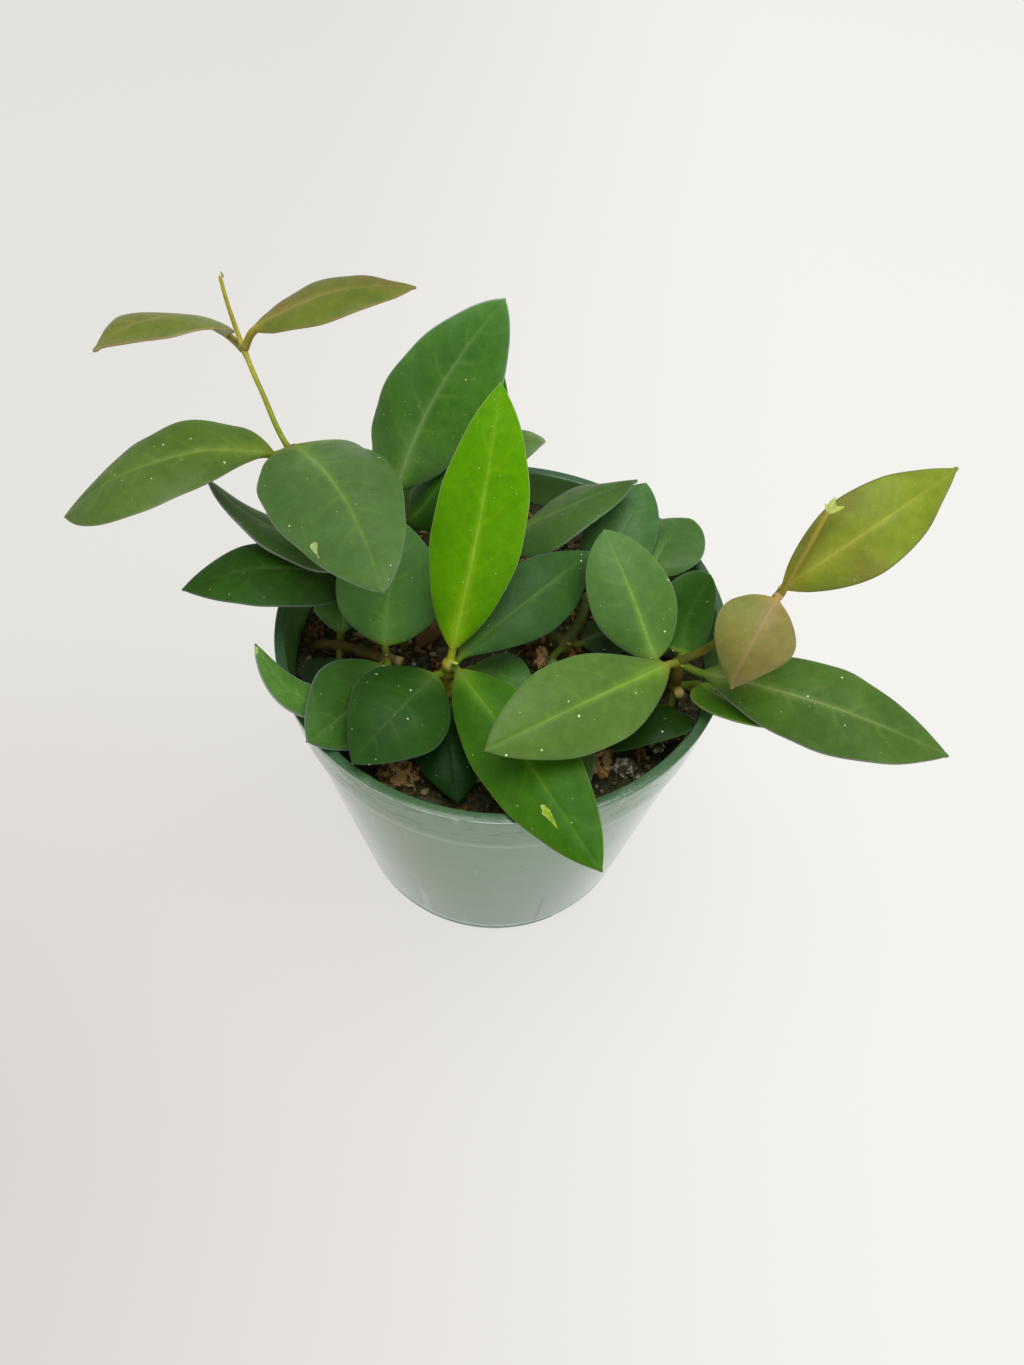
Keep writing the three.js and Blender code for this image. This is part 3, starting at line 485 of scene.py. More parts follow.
class Tree:
    """Short ways to add shader nodes. An input is a number, a colour or another node's output."""

    def __init__(self, tree):
        self.tree = tree

    def add(self, kind, inputs=None, output=0, **settings):
        node = self.tree.nodes.new(kind)
        for key, value in settings.items():
            setattr(node, key, value)
        for key, value in (inputs or {}).items():
            self.put(value, node.inputs[key])
        return node.outputs[output]

    def put(self, value, socket):
        if isinstance(value, bpy.types.NodeSocket):
            self.tree.links.new(value, socket)
        else:
            socket.default_value = value

    def math(self, operation, a, b=0.0):
        return self.add("ShaderNodeMath", {0: a, 1: b}, operation=operation)

    def mix(self, factor, a, b, blend="MIX"):
        return self.add("ShaderNodeMix", {0: factor, 6: a, 7: b}, 2, data_type="RGBA", blend_type=blend)

    def total(self, *terms):
        """The sum of values, each times its weight."""
        parts = [self.math("MULTIPLY", value, weight) for value, weight in terms]
        result = parts[0]
        for part in parts[1:]:
            result = self.math("ADD", result, part)
        return result

    def scaled(self, colour, red, green, blue):
        """A colour with its three channels multiplied."""
        factors = self.add("ShaderNodeCombineColor", {0: red, 1: green, 2: blue})
        return self.mix(1.0, colour, factors, "MULTIPLY")

    def ramp(self, value, low, high, to_low=0.0, to_high=1.0):
        ends = {"Value": value, "From Min": low, "From Max": high, "To Min": to_low, "To Max": to_high}
        return self.add("ShaderNodeMapRange", ends, interpolation_type="SMOOTHSTEP")

    def noise(self, vector, scale, detail=3.0, roughness=0.5, output=0):
        inputs = {"Vector": vector, "Scale": scale, "Detail": detail, "Roughness": roughness}
        return self.add("ShaderNodeTexNoise", inputs, output)

    def layer(self, name):
        return self.add("ShaderNodeAttribute", None, "Fac", attribute_name=name)

    def place(self):
        return self.add("ShaderNodeTexCoord", None, "Object")

    def group(self, tree, inputs, output=0):
        node = self.tree.nodes.new("ShaderNodeGroup")
        node.node_tree = tree
        for key, value in inputs.items():
            self.put(value, node.inputs[key])
        return node.outputs[output]

    def bump(self, height, distance, strength=1.0, normal=None):
        inputs = {"Height": height, "Distance": distance, "Strength": strength}
        if normal is not None:
            inputs["Normal"] = normal
        return self.add("ShaderNodeBump", inputs)


def new_group(name, inputs, outputs):
    """An empty shader node group: its Tree, inputs and outputs. All are numbers but its vector input."""
    tree = bpy.data.node_groups.new(name, "ShaderNodeTree")
    tree.interface.new_socket("Vector", in_out="INPUT", socket_type="NodeSocketVector")
    for label, value in inputs.items():
        socket = tree.interface.new_socket(label, in_out="INPUT", socket_type="NodeSocketFloat")
        socket.default_value = value
    for label in outputs:
        tree.interface.new_socket(label, in_out="OUTPUT", socket_type="NodeSocketFloat")
    return Tree(tree), tree.nodes.new("NodeGroupInput").outputs, tree.nodes.new("NodeGroupOutput").inputs


def new_material(name, **constants):
    """A material with a Principled shader: the material, its Tree and the shader's inputs."""
    material = bpy.data.materials.new(name)
    material.use_nodes = True
    tree = material.node_tree
    inputs = tree.nodes["Principled BSDF"].inputs
    for key, value in constants.items():
        inputs[key.replace("_", " ")].default_value = value
    return material, Tree(tree), inputs


def mottle_group():
    """Soft patches of two sizes, from 0 to 1."""
    t, given, out = new_group("Mottle", {"Size": 60.0, "Contrast": 0.5}, ["Mask"])
    wide = t.noise(given["Vector"], given["Size"], 2.0)
    fine = t.noise(given["Vector"], t.math("MULTIPLY", given["Size"], 4.3), 3.0)
    both = t.total((wide, 0.65), (fine, 0.35))
    low = t.math("MULTIPLY", given["Contrast"], 0.5)
    t.put(t.ramp(both, low, t.math("SUBTRACT", 1.0, low)), out["Mask"])
    return t.tree


def specks_group():
    """Sparse small round spots at random places, such as dust and mineral marks."""
    t, given, out = new_group("Specks", {"Scale": 300.0, "Share": 0.2, "Radius": 0.06}, ["Mask"])
    node = t.tree.nodes.new("ShaderNodeTexVoronoi")
    t.put(given["Vector"], node.inputs["Vector"])
    t.put(given["Scale"], node.inputs["Scale"])
    chance = t.add("ShaderNodeSeparateColor", {"Color": node.outputs["Color"]}, "Red")
    size = t.add("ShaderNodeSeparateColor", {"Color": node.outputs["Color"]}, "Green")
    radius = t.math("MULTIPLY", given["Radius"], t.math("ADD", size, 0.4))
    near = t.math("LESS_THAN", node.outputs["Distance"], radius)
    chosen = t.math("LESS_THAN", chance, given["Share"])
    t.put(t.math("MULTIPLY", near, chosen), out["Mask"])
    return t.tree


def grain_group():
    """A fine pebbled height, as of leaf skin or moulded plastic."""
    t, given, out = new_group("Grain", {"Scale": 2000.0}, ["Height"])
    fine = t.noise(given["Vector"], given["Scale"], 2.0)
    wide = t.noise(given["Vector"], t.math("MULTIPLY", given["Scale"], 0.22), 2.0)
    t.put(t.total((fine, 0.4), (wide, 0.6)), out["Height"])
    return t.tree


def veins_group():
    """The midrib with its glow and the faint side veins that leave it and bend towards the tip."""
    places = {"Along": 0.0, "Across": 0.0, "From Middle": 0.0, "Pairs": VEIN_PAIRS}
    t, given, out = new_group("Leaf veins", places, ["Midrib", "Veins"])
    along, across = given["Along"], given["Across"]
    wander = t.math("MULTIPLY", t.math("SUBTRACT", t.noise(given["Vector"], 120.0, 2.0), 0.5), 0.35)
    from_rib = t.math("ADD", given["From Middle"], t.math("MULTIPLY", wander, 0.3))
    line = t.ramp(from_rib, 0.0, t.ramp(along, 0.0, 0.95, 0.6, 0.3), 1.0, 0.0)
    glow = t.ramp(from_rib, 0.0, t.ramp(along, 0.0, 0.95, 2.0, 0.9), 1.0, 0.0)
    both = t.total((line, 0.45), (glow, 0.4))
    t.put(t.math("MULTIPLY", both, t.ramp(along, 0.3, 1.0, 1.0, 0.2)), out["Midrib"])
    reach = t.math("ABSOLUTE", across)
    swept = t.math("SUBTRACT", along, t.math("MULTIPLY", t.math("POWER", reach, 1.3), 0.2))
    offset = t.math("MULTIPLY", t.math("SIGN", across), 0.21)
    phase = t.math("ADD", t.math("MULTIPLY", swept, given["Pairs"]), t.math("ADD", offset, wander))
    vein = t.ramp(t.math("PINGPONG", phase, 0.5), 0.0, 0.12, 1.0, 0.0)
    fade = t.math("MULTIPLY", t.ramp(reach, 0.05, 0.8, 1.0, 0.0), t.ramp(along, 0.75, 1.0, 1.0, 0.0))
    t.put(t.math("MULTIPLY", vein, fade), out["Veins"])
    return t.tree


def scar_group():
    """A torn oval: its flesh, and the ragged dry edge around it. U and V are 1 at the oval's ends."""
    t, given, out = new_group("Scar", {"U": 9.0, "V": 9.0}, ["Flesh", "Edge"])
    squares = [t.math("POWER", t.math("ABSOLUTE", given[key]), 2.0) for key in ("U", "V")]
    far = t.math("SQRT", t.math("ADD", *squares))
    crumpled = t.noise(given["Vector"], 1100.0, 3.0)
    far = t.math("ADD", far, t.math("MULTIPLY", t.math("SUBTRACT", crumpled, 0.5), 1.4))
    t.put(t.ramp(far, 0.8, 1.0, 0.9, 0.0), out["Flesh"])
    rim = t.math("MULTIPLY", t.ramp(far, 0.7, 0.85), t.ramp(far, 0.95, 1.1, 1.0, 0.0))
    t.put(t.math("MULTIPLY", rim, t.ramp(t.noise(given["Vector"], 700.0, 2.0), 0.4, 0.55)), out["Edge"])
    return t.tree


EFFECTS = {
    "mottle": mottle_group,
    "specks": specks_group,
    "grain": grain_group,
    "veins": veins_group,
    "scar": scar_group,
}


def effect(name):
    """The shared node group of that name, made when it is first asked for."""
    if isinstance(EFFECTS[name], bpy.types.ShaderNodeTree):
        return EFFECTS[name]
    EFFECTS[name] = EFFECTS[name]()
    return EFFECTS[name]


# ---------- Materials ----------

def leaf_material(tone, settings):
    """Waxy leaf skin: pale ribs, a painted grey sheen, a thin margin line, flush, scars, dust and a dull
    back, each leaf lighter or darker partly by its own tone and partly by painted light and shade.
    """
    colours = {key: tint(code) for key, code in TONES[tone].items() if isinstance(code, int)}
    spread, painted_sheen_share, gloss = (TONES[tone][key] for key in ("spread", "painted_sheen_share", "gloss"))
    material, t, shader = new_material("Leaf " + tone, IOR=1.45, Specular_IOR_Level=gloss * settings.gloss)
    where = t.place()
    along, middle, margin, under = (t.layer(name) for name in ("along", "middle", "margin", "under"))
    patches = t.group(effect("mottle"), {"Vector": where, "Size": 70.0, "Contrast": 0.6})
    cells = t.group(effect("mottle"), {"Vector": where, "Size": 420.0, "Contrast": 0.7})
    on_blade = {"Vector": where, "Along": along, "Across": t.layer("across"), "From Middle": middle,
                "Pairs": VEIN_PAIRS}
    rib, side_veins = (t.group(effect("veins"), on_blade, output) for output in ("Midrib", "Veins"))
    base = t.mix(patches, colours["shade"], colours["light"])
    if spread:
        soft = t.ramp(t.noise(where, 55.0, 4.0, 0.6), 0.62 - 0.35 * spread, 0.72, 0.2, 1.0)
        base = t.mix(t.math("MULTIPLY", soft, t.layer("flush")), base, colours["flush"])
    # Painted sheen: a soft grey-green over broad patches and along the margins stands in for the waxy
    # reflection.
    painted_sheen = t.ramp(t.noise(where, 48.0, 2.0), 0.35, 0.7, 0.25 * painted_sheen_share, painted_sheen_share)
    painted_sheen = t.math("ADD", painted_sheen, t.ramp(margin, 0.0, 3.2, 0.5 * painted_sheen_share, 0.0))
    base = t.mix(painted_sheen, base, colours["painted_sheen"])
    near_stalk = t.math("MULTIPLY", t.ramp(along, 0.0, 0.4, 0.35, 0.0), t.ramp(middle, 0.0, 4.5, 1.0, 0.0))
    base = t.mix(near_stalk, base, colours["rib"])
    base = t.mix(t.math("MULTIPLY", side_veins, settings.vein_strength), base, colours["rib"])
    base = t.mix(t.math("MULTIPLY", rib, t.layer("rib")), base, t.mix(0.08, colours["rib"], tint(0xC8D0B0)))
    base = t.mix(t.ramp(margin, 0.06, 0.34, 0.7, 0.0), base, colours["margin"])
    # Each leaf's light, warm and cool scale its colour: partly its own tone, partly painted light and
    # shade.
    bright = t.math("MULTIPLY", t.layer("light"), t.ramp(cells, 0.0, 1.0, 0.94, 1.05))
    red, blue = (t.math("MULTIPLY", bright, t.layer(name)) for name in ("warm", "cool"))
    base = t.scaled(base, red, bright, blue)
    base = t.mix(t.math("MULTIPLY", under, 0.75), base, t.mix(0.45, colours["light"], tint(0x9DB083)))
    stalk = t.mix(patches, colours["stalk"], t.mix(0.4, colours["stalk"], colours["rib"]))
    base = t.mix(t.layer("stalk"), base, stalk)
    on_scar = {"Vector": where, "U": t.layer("scar_u"), "V": t.layer("scar_v")}
    scar, torn = (t.group(effect("scar"), on_scar, output) for output in ("Flesh", "Edge"))
    flesh = t.mix(cells, tint(0x6E9A10), tint(0xA8C828))
    base = t.mix(scar, base, t.mix(t.layer("dry"), flesh, tint(0x9CA878)))
    base = t.mix(torn, base, tint(0xC0C084))
    share = t.math("MULTIPLY", t.math("ADD", t.layer("dusty"), 1.0), settings.dust)
    dust = t.group(effect("specks"), {"Vector": where, "Scale": 420.0, "Share": share, "Radius": 0.085})
    fine = t.group(effect("specks"), {"Vector": where, "Scale": 900.0, "Share": share, "Radius": 0.09})
    dust = t.math("MAXIMUM", dust, t.math("MULTIPLY", fine, 0.6))
    dust = t.math("MULTIPLY", dust, t.math("SUBTRACT", 1.0, under))
    base = t.mix(t.math("MULTIPLY", dust, 0.8), base, tint(0xE0E8D0))
    t.put(base, shader["Base Color"])
    rough = settings.roughness
    t.put(t.ramp(patches, 0.0, 1.0, rough + 0.05, rough - 0.05), shader["Roughness"])
    grain = t.group(effect("grain"), {"Vector": where, "Scale": 2600.0})
    height = t.total((grain, 0.4), (side_veins, -0.2), (cells, 0.5), (scar, -2.0), (dust, 0.8))
    t.put(t.bump(height, 0.00009, 0.7), shader["Normal"])
    return material


def stem_material():
    """Green to brown stem skin with darker joints and corky cut ends, dulled by painted shade and made
    lighter or darker stem by stem, partly by painted light and shade.
    """
    material, t, shader = new_material("Stem", Specular_IOR_Level=0.2)
    where = t.place()
    patches = t.group(effect("mottle"), {"Vector": where, "Size": 260.0, "Contrast": 0.5})
    green = t.mix(patches, tint(0x66750C), tint(0x8C9A18))
    # Painted shade: shaded dulls the green towards a dark olive.
    green = t.mix(t.layer("shaded"), green, t.mix(patches, tint(0x2C3A16), tint(0x4C5C2A)))
    green = t.mix(t.layer("young"), green, t.mix(patches, tint(0x989022), tint(0xB4AC40)))
    brown = t.mix(patches, tint(0x4E3416), tint(0x8A6A3A))
    base = t.mix(t.layer("woody"), green, brown)
    joint = t.mix(patches, tint(0x6E5A24), tint(0xA08A48))
    base = t.mix(t.math("MULTIPLY", t.layer("joint"), 0.5), base, joint)
    base = t.mix(t.layer("cork"), base, t.mix(patches, tint(0xA88E54), tint(0xDCC890)))
    base = t.mix(t.layer("fresh"), base, t.mix(patches, tint(0x9CAC30), tint(0xCFD68C)))
    spots = t.group(effect("specks"), {"Vector": where, "Scale": 900.0, "Share": 0.25, "Radius": 0.16})
    spots = t.math("MULTIPLY", spots, t.ramp(t.layer("woody"), 0.0, 1.0, 0.2, 0.5))
    base = t.mix(spots, base, tint(0x3A2614))
    # Each stem's light scales its whole skin: partly its own tone, partly painted light and shade.
    light = t.layer("light")
    t.put(t.scaled(base, light, light, light), shader["Base Color"])
    t.put(t.ramp(t.layer("woody"), 0.0, 1.0, 0.45, 0.7), shader["Roughness"])
    grain = t.group(effect("grain"), {"Vector": where, "Scale": 1900.0})
    t.put(t.bump(grain, 0.00022, 0.8), shader["Normal"])
    return material


def pot_material(settings):
    """Moulded green plastic with a glossy skin, a rim top painted darker and a bore painted brighter, a
    painted pale sheen at its outline, a painted lip highlight, rubbed band, scratches and dirt.
    """
    material, t, shader = new_material("Pot plastic", IOR=1.5, Specular_IOR_Level=0.5)
    where = t.place()
    patches = t.group(effect("mottle"), {"Vector": where, "Size": 26.0, "Contrast": 0.4})
    wall = t.mix(t.ramp(t.noise(where, 16.0, 2.0), 0.4, 0.6), settings.colour, tint(0x597C66))
    wall = t.mix(t.math("MULTIPLY", patches, 0.15), wall, tint(0xB4C0B0))
    lying = t.add("ShaderNodeMapping", {"Vector": where, "Scale": (1.0, 1.0, 5.0)})
    high = t.add("ShaderNodeSeparateXYZ", {"Vector": where}, "Z")
    rubs = t.ramp(t.noise(lying, 170.0, 4.0, 0.7), 0.52, 0.66)
    on_band = t.ramp(high, BAND_FOOT * MM, (POT["height"] - 8) * MM, 0.12, 1.0)
    scuffs = t.math("MULTIPLY", rubs, on_band)
    base = t.mix(t.math("MULTIPLY", scuffs, 0.5), wall, tint(0x466646))
    base = t.mix(t.math("MULTIPLY", t.layer("stain"), 0.7), base, tint(0x36582E))
    upright = t.add("ShaderNodeMapping", {"Vector": where, "Scale": (1.0, 1.0, 0.12)})
    streaks = t.ramp(t.noise(upright, 210.0, 3.0), 0.62, 0.74, 0.0, 0.3)
    base = t.mix(streaks, base, tint(0xC2CCBE))
    # Painted reflection: the plastic turns pale where it is seen edge-on, towards its outline, as if
    # mirroring the bright table.
    pale = t.ramp(t.add("ShaderNodeLayerWeight", {"Blend": 0.5}, "Facing"), 0.74, 1.0, 0.0, 0.8)
    base = t.mix(pale, base, tint(0xC8D6CC))
    # The rim top and the bore are the wall's plastic in other greens: the rim darker, painted shade, and
    # the bore brighter, painted light that lifts the shade inside the pot.
    inside = t.layer("inside")
    base = t.mix(t.layer("rim"), base, t.mix(patches, tint(0x34543A), tint(0x44643F)))
    base = t.mix(inside, base, t.mix(patches, tint(0x608F48), tint(0x74A45A)))
    # Painted highlight: a broken white line along the lip's outer edge and a fainter one along the band's
    # step.
    lip_highlight_nicks = t.ramp(t.noise(where, 260.0, 4.0, 0.7), 0.3, 0.55, 0.3, 0.9)
    base = t.mix(t.math("MULTIPLY", t.layer("lip"), lip_highlight_nicks), base, tint(0xE6EEE2))
    dirt = t.group(effect("specks"), {"Vector": where, "Scale": 260.0, "Share": 0.05, "Radius": 0.1})
    base = t.mix(t.math("MULTIPLY", dirt, 0.6), base, tint(0x3A4A34))
    t.put(base, shader["Base Color"])
    worn = t.total((scuffs, 0.2), (inside, 0.3))
    rough = t.ramp(patches, 0.0, 1.0, settings.roughness, settings.roughness + 0.1)
    t.put(t.math("ADD", rough, worn), shader["Roughness"])
    grain = t.group(effect("grain"), {"Vector": where, "Scale": 1500.0})
    t.put(t.bump(t.math("ADD", grain, t.math("MULTIPLY", scuffs, 0.6)), 0.00006, 0.6), shader["Normal"])
    return material


def crumb_material(name, dark, light, roughness=0.9, scale=900.0, pits=None, pitted=0.42):
    """Something crumbly or woody whose pieces differ by a shade of each, for some chips partly painted
    light, with pits of a colour if given.
    """
    material, t, shader = new_material(name, Specular_IOR_Level=0.1)
    where = t.place()
    patches = t.noise(where, scale, 4.0, 0.65)
    pale = t.total((patches, 0.7), (t.layer("shade"), 0.6))
    base = t.mix(t.ramp(pale, 0.3, 0.95), tint(dark), tint(light))
    if pits is not None:
        holes = t.ramp(t.noise(where, scale * 0.8, 5.0, 0.7), pitted, pitted + 0.08, 0.9, 0.0)
        base = t.mix(holes, base, tint(pits))
    t.put(base, shader["Base Color"])
    t.put(t.ramp(patches, 0.2, 0.8, roughness - 0.12, roughness + 0.05), shader["Roughness"])
    t.put(t.bump(t.noise(where, scale * 2.2, 4.0, 0.7), 0.0005, 1.0), shader["Normal"])
    return material


def floor_material(settings):
    """An off-white light table that shines softly, cooler and brighter to the right: shadows stay faint."""
    material, t, shader = new_material("Light table", Specular_IOR_Level=0.0, Roughness=0.8,
                                       Base_Color=settings.floor_colour, Emission_Strength=1.0)
    across, deep = (t.add("ShaderNodeSeparateXYZ", {"Vector": t.place()}, axis) for axis in "XY")
    left = t.mix(t.ramp(deep, -0.12, 0.1), settings.near_left, settings.left)
    t.put(t.mix(t.ramp(across, -0.16, 0.14), left, settings.right), shader["Emission Color"])
    return material


# ---------- Leaf blades ----------

def outline(t, belly, point):
    """Half the blade's width as a share of its widest, at a share t of its length."""
    rise = point * belly / (1 - belly)
    return (t / belly) ** rise * ((1 - t) / (1 - belly)) ** point


def leaf_start(node, base):
    """Where a leaf's petiole leaves the stem at a node, a little inside its skin."""
    entries = (entry for stem in STEMS.values() for line in stem["lines"] for entry in line)
    radii = [entry[1] for entry in entries if entry[0] == node]
    place = np.array(NODES[node], float)
    return place + unit(np.array(base, float) - place) * max(radii) * NODE_SWELL * 0.55


def leaf_frames(start, base, tip, lie):
    """Cross-sections of a leaf from its start to its tip, as arrays: centre, side, face and share along."""
    start, base, tip = (np.array(p, float) for p in (start, base, tip))
    out = unit(base - start)
    along = tip - base
    axis = unit(along)
    up = unit(np.array([0, 0, 1.0]) - axis * axis[2])
    across = np.cross(axis, up)
    roll, twist = (math.radians(lie.get(key, 0)) for key in ("roll", "twist"))
    face = up * math.cos(roll) + across * math.sin(roll)
    side = np.cross(axis, face)
    bend = face * lie.get("arch", 0) + side * lie.get("sway", 0)

    t = 0.5 - 0.5 * np.cos(np.linspace(0, math.pi, ROWS["blade"]))
    blade = base + along * t[:, None] + bend * (4 * t * (1 - t))[:, None]
    blade_way = unit(along + bend * (4 * (1 - 2 * t))[:, None])

    reach = np.linalg.norm(base - start) / 3
    u = np.linspace(0, 1, ROWS["petiole"] + 1)[:-1, None]
    a, b, c, d = start, start + out * reach, base - blade_way[0] * reach, base
    petiole = a * (1 - u) ** 3 + 3 * b * u * (1 - u) ** 2 + 3 * c * u**2 * (1 - u) + d * u**3
    petiole_way = unit((b - a) * (1 - u) ** 2 + 2 * (c - b) * u * (1 - u) + (d - c) * u**2)

    centre = np.concatenate([petiole, blade])
    way = np.concatenate([petiole_way, blade_way])
    share = np.concatenate([u[:, 0] - 1, t])
    turn = (twist * (np.maximum(share, 0) - 0.5))[:, None]
    flat = side * np.cos(turn) + face * np.sin(turn)
    flat = unit(flat - way * (flat * way).sum(1, keepdims=True))
    return centre, flat, np.cross(flat, way), share


def leaf_halves(share, stalk, length, width, lie, seed):
    """Half widths of a leaf's two sides at every cross-section, with a faint ripple and a blunt tip."""
    t = np.clip(share, 0, 1)
    belly, point = (lie.get(key, BLADE[key]) for key in ("belly", "point"))
    ripple = 1 + 0.012 * np.sin(t * length / 2.3 + seed) * np.clip(t / 0.1, 0, 1)
    nose = BLADE["blunt"] * width
    to_tip = np.minimum(length * (1 - t), nose)
    blunt = np.sqrt(to_tip * (2 * nose - to_tip)) * (t > 0.8)
    halves = []
    for lean in (-lie.get("skew", 0), lie.get("skew", 0)):
        wide = 0.5 * width * outline(t, belly + lean, point) * ripple * (share > 0)
        wide = np.maximum(wide, blunt)
        halves.append(np.maximum(np.hypot(wide, stalk), BLADE["tip"])[:, None])
    return halves


def leaf_wave(t, s, out, length, seed):
    """How far a blade's surface waves up or down at every point, most at its edges."""
    wave = np.zeros_like(out)
    for i in np.flatnonzero(t > 0):
        for j in range(len(s)):
            spot = Vector((t[i] * length / 12, out[i, j] / 8, seed * 3.7))
            frill = Vector((t[i] * length / 6, float(np.sign(s[j])), seed * 1.3))
            wave[i, j] = 0.5 * noise.noise(spot) + 0.25 * s[j] ** 4 * noise.noise(frill)
    return wave


def both_sides(values, back=None):
    """A layer of a leaf from its values on the face, and on the back if they differ there."""
    both = np.concatenate([values, (values if back is None else back)[:, ::-1]], axis=1)
    return np.concatenate([both, both[-1:], both[-1:]]).ravel()


def scar_layers(t, out, length, scar):
    """Where each point lies from the middle of a leaf's torn spot, lengthwise and across, on its face."""
    along, across, half_long, half_wide = scar
    u = np.broadcast_to((t[:, None] - along) * length / half_long, out.shape)
    v = (out - across) / half_wide * (1 + SCAR_TAIL["narrow"] * np.maximum(u, 0))
    far = np.full_like(out, OFF_SCAR)
    return {
        "scar_u": both_sides(u * np.where(u > 0, SCAR_TAIL["stretch"], 1), far),
        "scar_v": both_sides(v, far),
    }


def leaf_shape(start, base, tip, width, lie, seed, looks=None):
    """Points, faces and layers of one leaf: a round petiole that opens into a fleshy, keeled blade."""
    centre, side, face, share = leaf_frames(start, base, tip, lie)
    t = np.clip(share, 0, 1)
    length = np.linalg.norm(np.subtract(tip, base))
    on_blade = np.clip(t / 0.1, 0, 1)
    foot = 0.14 * np.exp(-((share + 1) / 0.16) ** 2)
    stalk = PETIOLE_RADIUS * (1 + foot) * (1 - t)
    rib = PETIOLE_RADIUS + (BLADE["mid"] / 2 - PETIOLE_RADIUS) * np.clip(t / 0.2, 0, 1)
    mid = rib * (1 + foot) * (1 - 0.4 * t)

    positive = np.array(ACROSS)
    s = np.concatenate([-positive[:0:-1], positive])
    half = np.where(s[None, :] < 0, *leaf_halves(share, stalk, length, width, lie, seed))
    out = s[None, :] * half
    blade = on_blade[:, None]
    smooth_fold = np.sqrt(s * s + 0.006) - math.sqrt(0.006)
    rise = blade * half * (BLADE["fold"] * smooth_fold - BLADE["cup"] * s * s)[None, :]
    edge = np.minimum(BLADE["edge"] / 2, mid)[:, None]
    body = edge + (mid[:, None] - edge) * (1 - s * s)[None, :]
    margin = (1 - np.abs(s))[None, :] * half
    rim = np.sqrt(np.clip(1 - (1 - np.clip(margin / 0.4, 0, 1)) ** 2, 0, 1))
    stalk_skin = mid[:, None] * np.sqrt(np.clip(1 - s * s, 0.02, 1))
    skin = blade * body * (0.3 + 0.7 * rim) + (1 - blade) * stalk_skin
    near_rib = np.exp(-((out / 0.5) ** 2)) * blade
    groove = near_rib * (0.26 - 0.18 * t)[:, None]
    keel = np.exp(-((out / 0.7) ** 2)) * blade * (0.3 - 0.22 * t)[:, None]

    wave = leaf_wave(t, s, out, length, seed) * blade * np.clip(t * (1 - t) * 8, 0, 1)[:, None]
    pucker = 0.02 * np.cos(2 * math.pi * (VEIN_PAIRS * (t[:, None] - 0.24 * np.abs(s) ** 1.4)))
    rise = rise + wave + pucker * blade * np.abs(s) * (1 - s * s)

    flat = centre[:, None, :] + side[:, None, :] * out[..., None]
    top = flat + face[:, None, :] * (rise + skin - groove)[..., None]
    low = flat + face[:, None, :] * (rise - skin - keel)[..., None]
    ring = np.concatenate([top, low[:, ::-1]], axis=1)
    rows, sides = ring.shape[:2]
    round_tip = [ring[-1].mean(0) + (ring[-1] - ring[-1].mean(0)) * k + np.cross(side[-1], face[-1]) * -d
                 for k, d in ((0.8, 0.12), (0.45, 0.2))]
    points = np.concatenate([ring.reshape(-1, 3), *round_tip])

    looks = looks or {}
    same = np.ones_like(out)
    layers = {
        "flush": both_sides(np.clip(0.55 + looks.get("flush_side", 0) * out / 5, 0, 1)),
        "along": both_sides(t[:, None] * same),
        "across": both_sides(s[None, :] * same),
        "middle": both_sides(np.abs(out)),
        "margin": both_sides(np.where(blade > 0.5, margin, OFF_MARGIN)),
        "stalk": both_sides((1 - np.clip(t / 0.07, 0, 1))[:, None] * same),
        "under": both_sides(np.zeros_like(out), blade * rim),
        **scar_layers(t, out, length, looks.get("scar", NO_SCAR)),
        **{key: both_sides(looks.get(key, plain) * same) for key, plain in PLAIN_LOOKS.items()},
    }
    return points, tube_faces(rows + 2, sides), layers


# ---------- Stems ----------

def stem_course(line, from_mix):
    """A stem line's points and radii and which are joints, from a little below the mix to its very end."""
    points, radii, joints = [], [], []
    for entry in line:
        named = isinstance(entry[0], str)
        points.append(np.array(NODES[entry[0]] if named else entry[:3], float))
        radii.append(entry[-1])
        joints.append(named)
    if from_mix:
        points[0][2] = MIX["level"] + 1
        points.insert(0, points[0] - (0, 0, 6))
        radii.insert(0, radii[0])
        joints.insert(0, False)
    if joints[-1]:
        onward = unit(points[-1] - points[-2])
        points.append(points[-1] + onward * radii[-1] * NODE_SWELL)
        radii.append(radii[-1] * 0.6)
        joints.append(False)
    return points, radii, joints


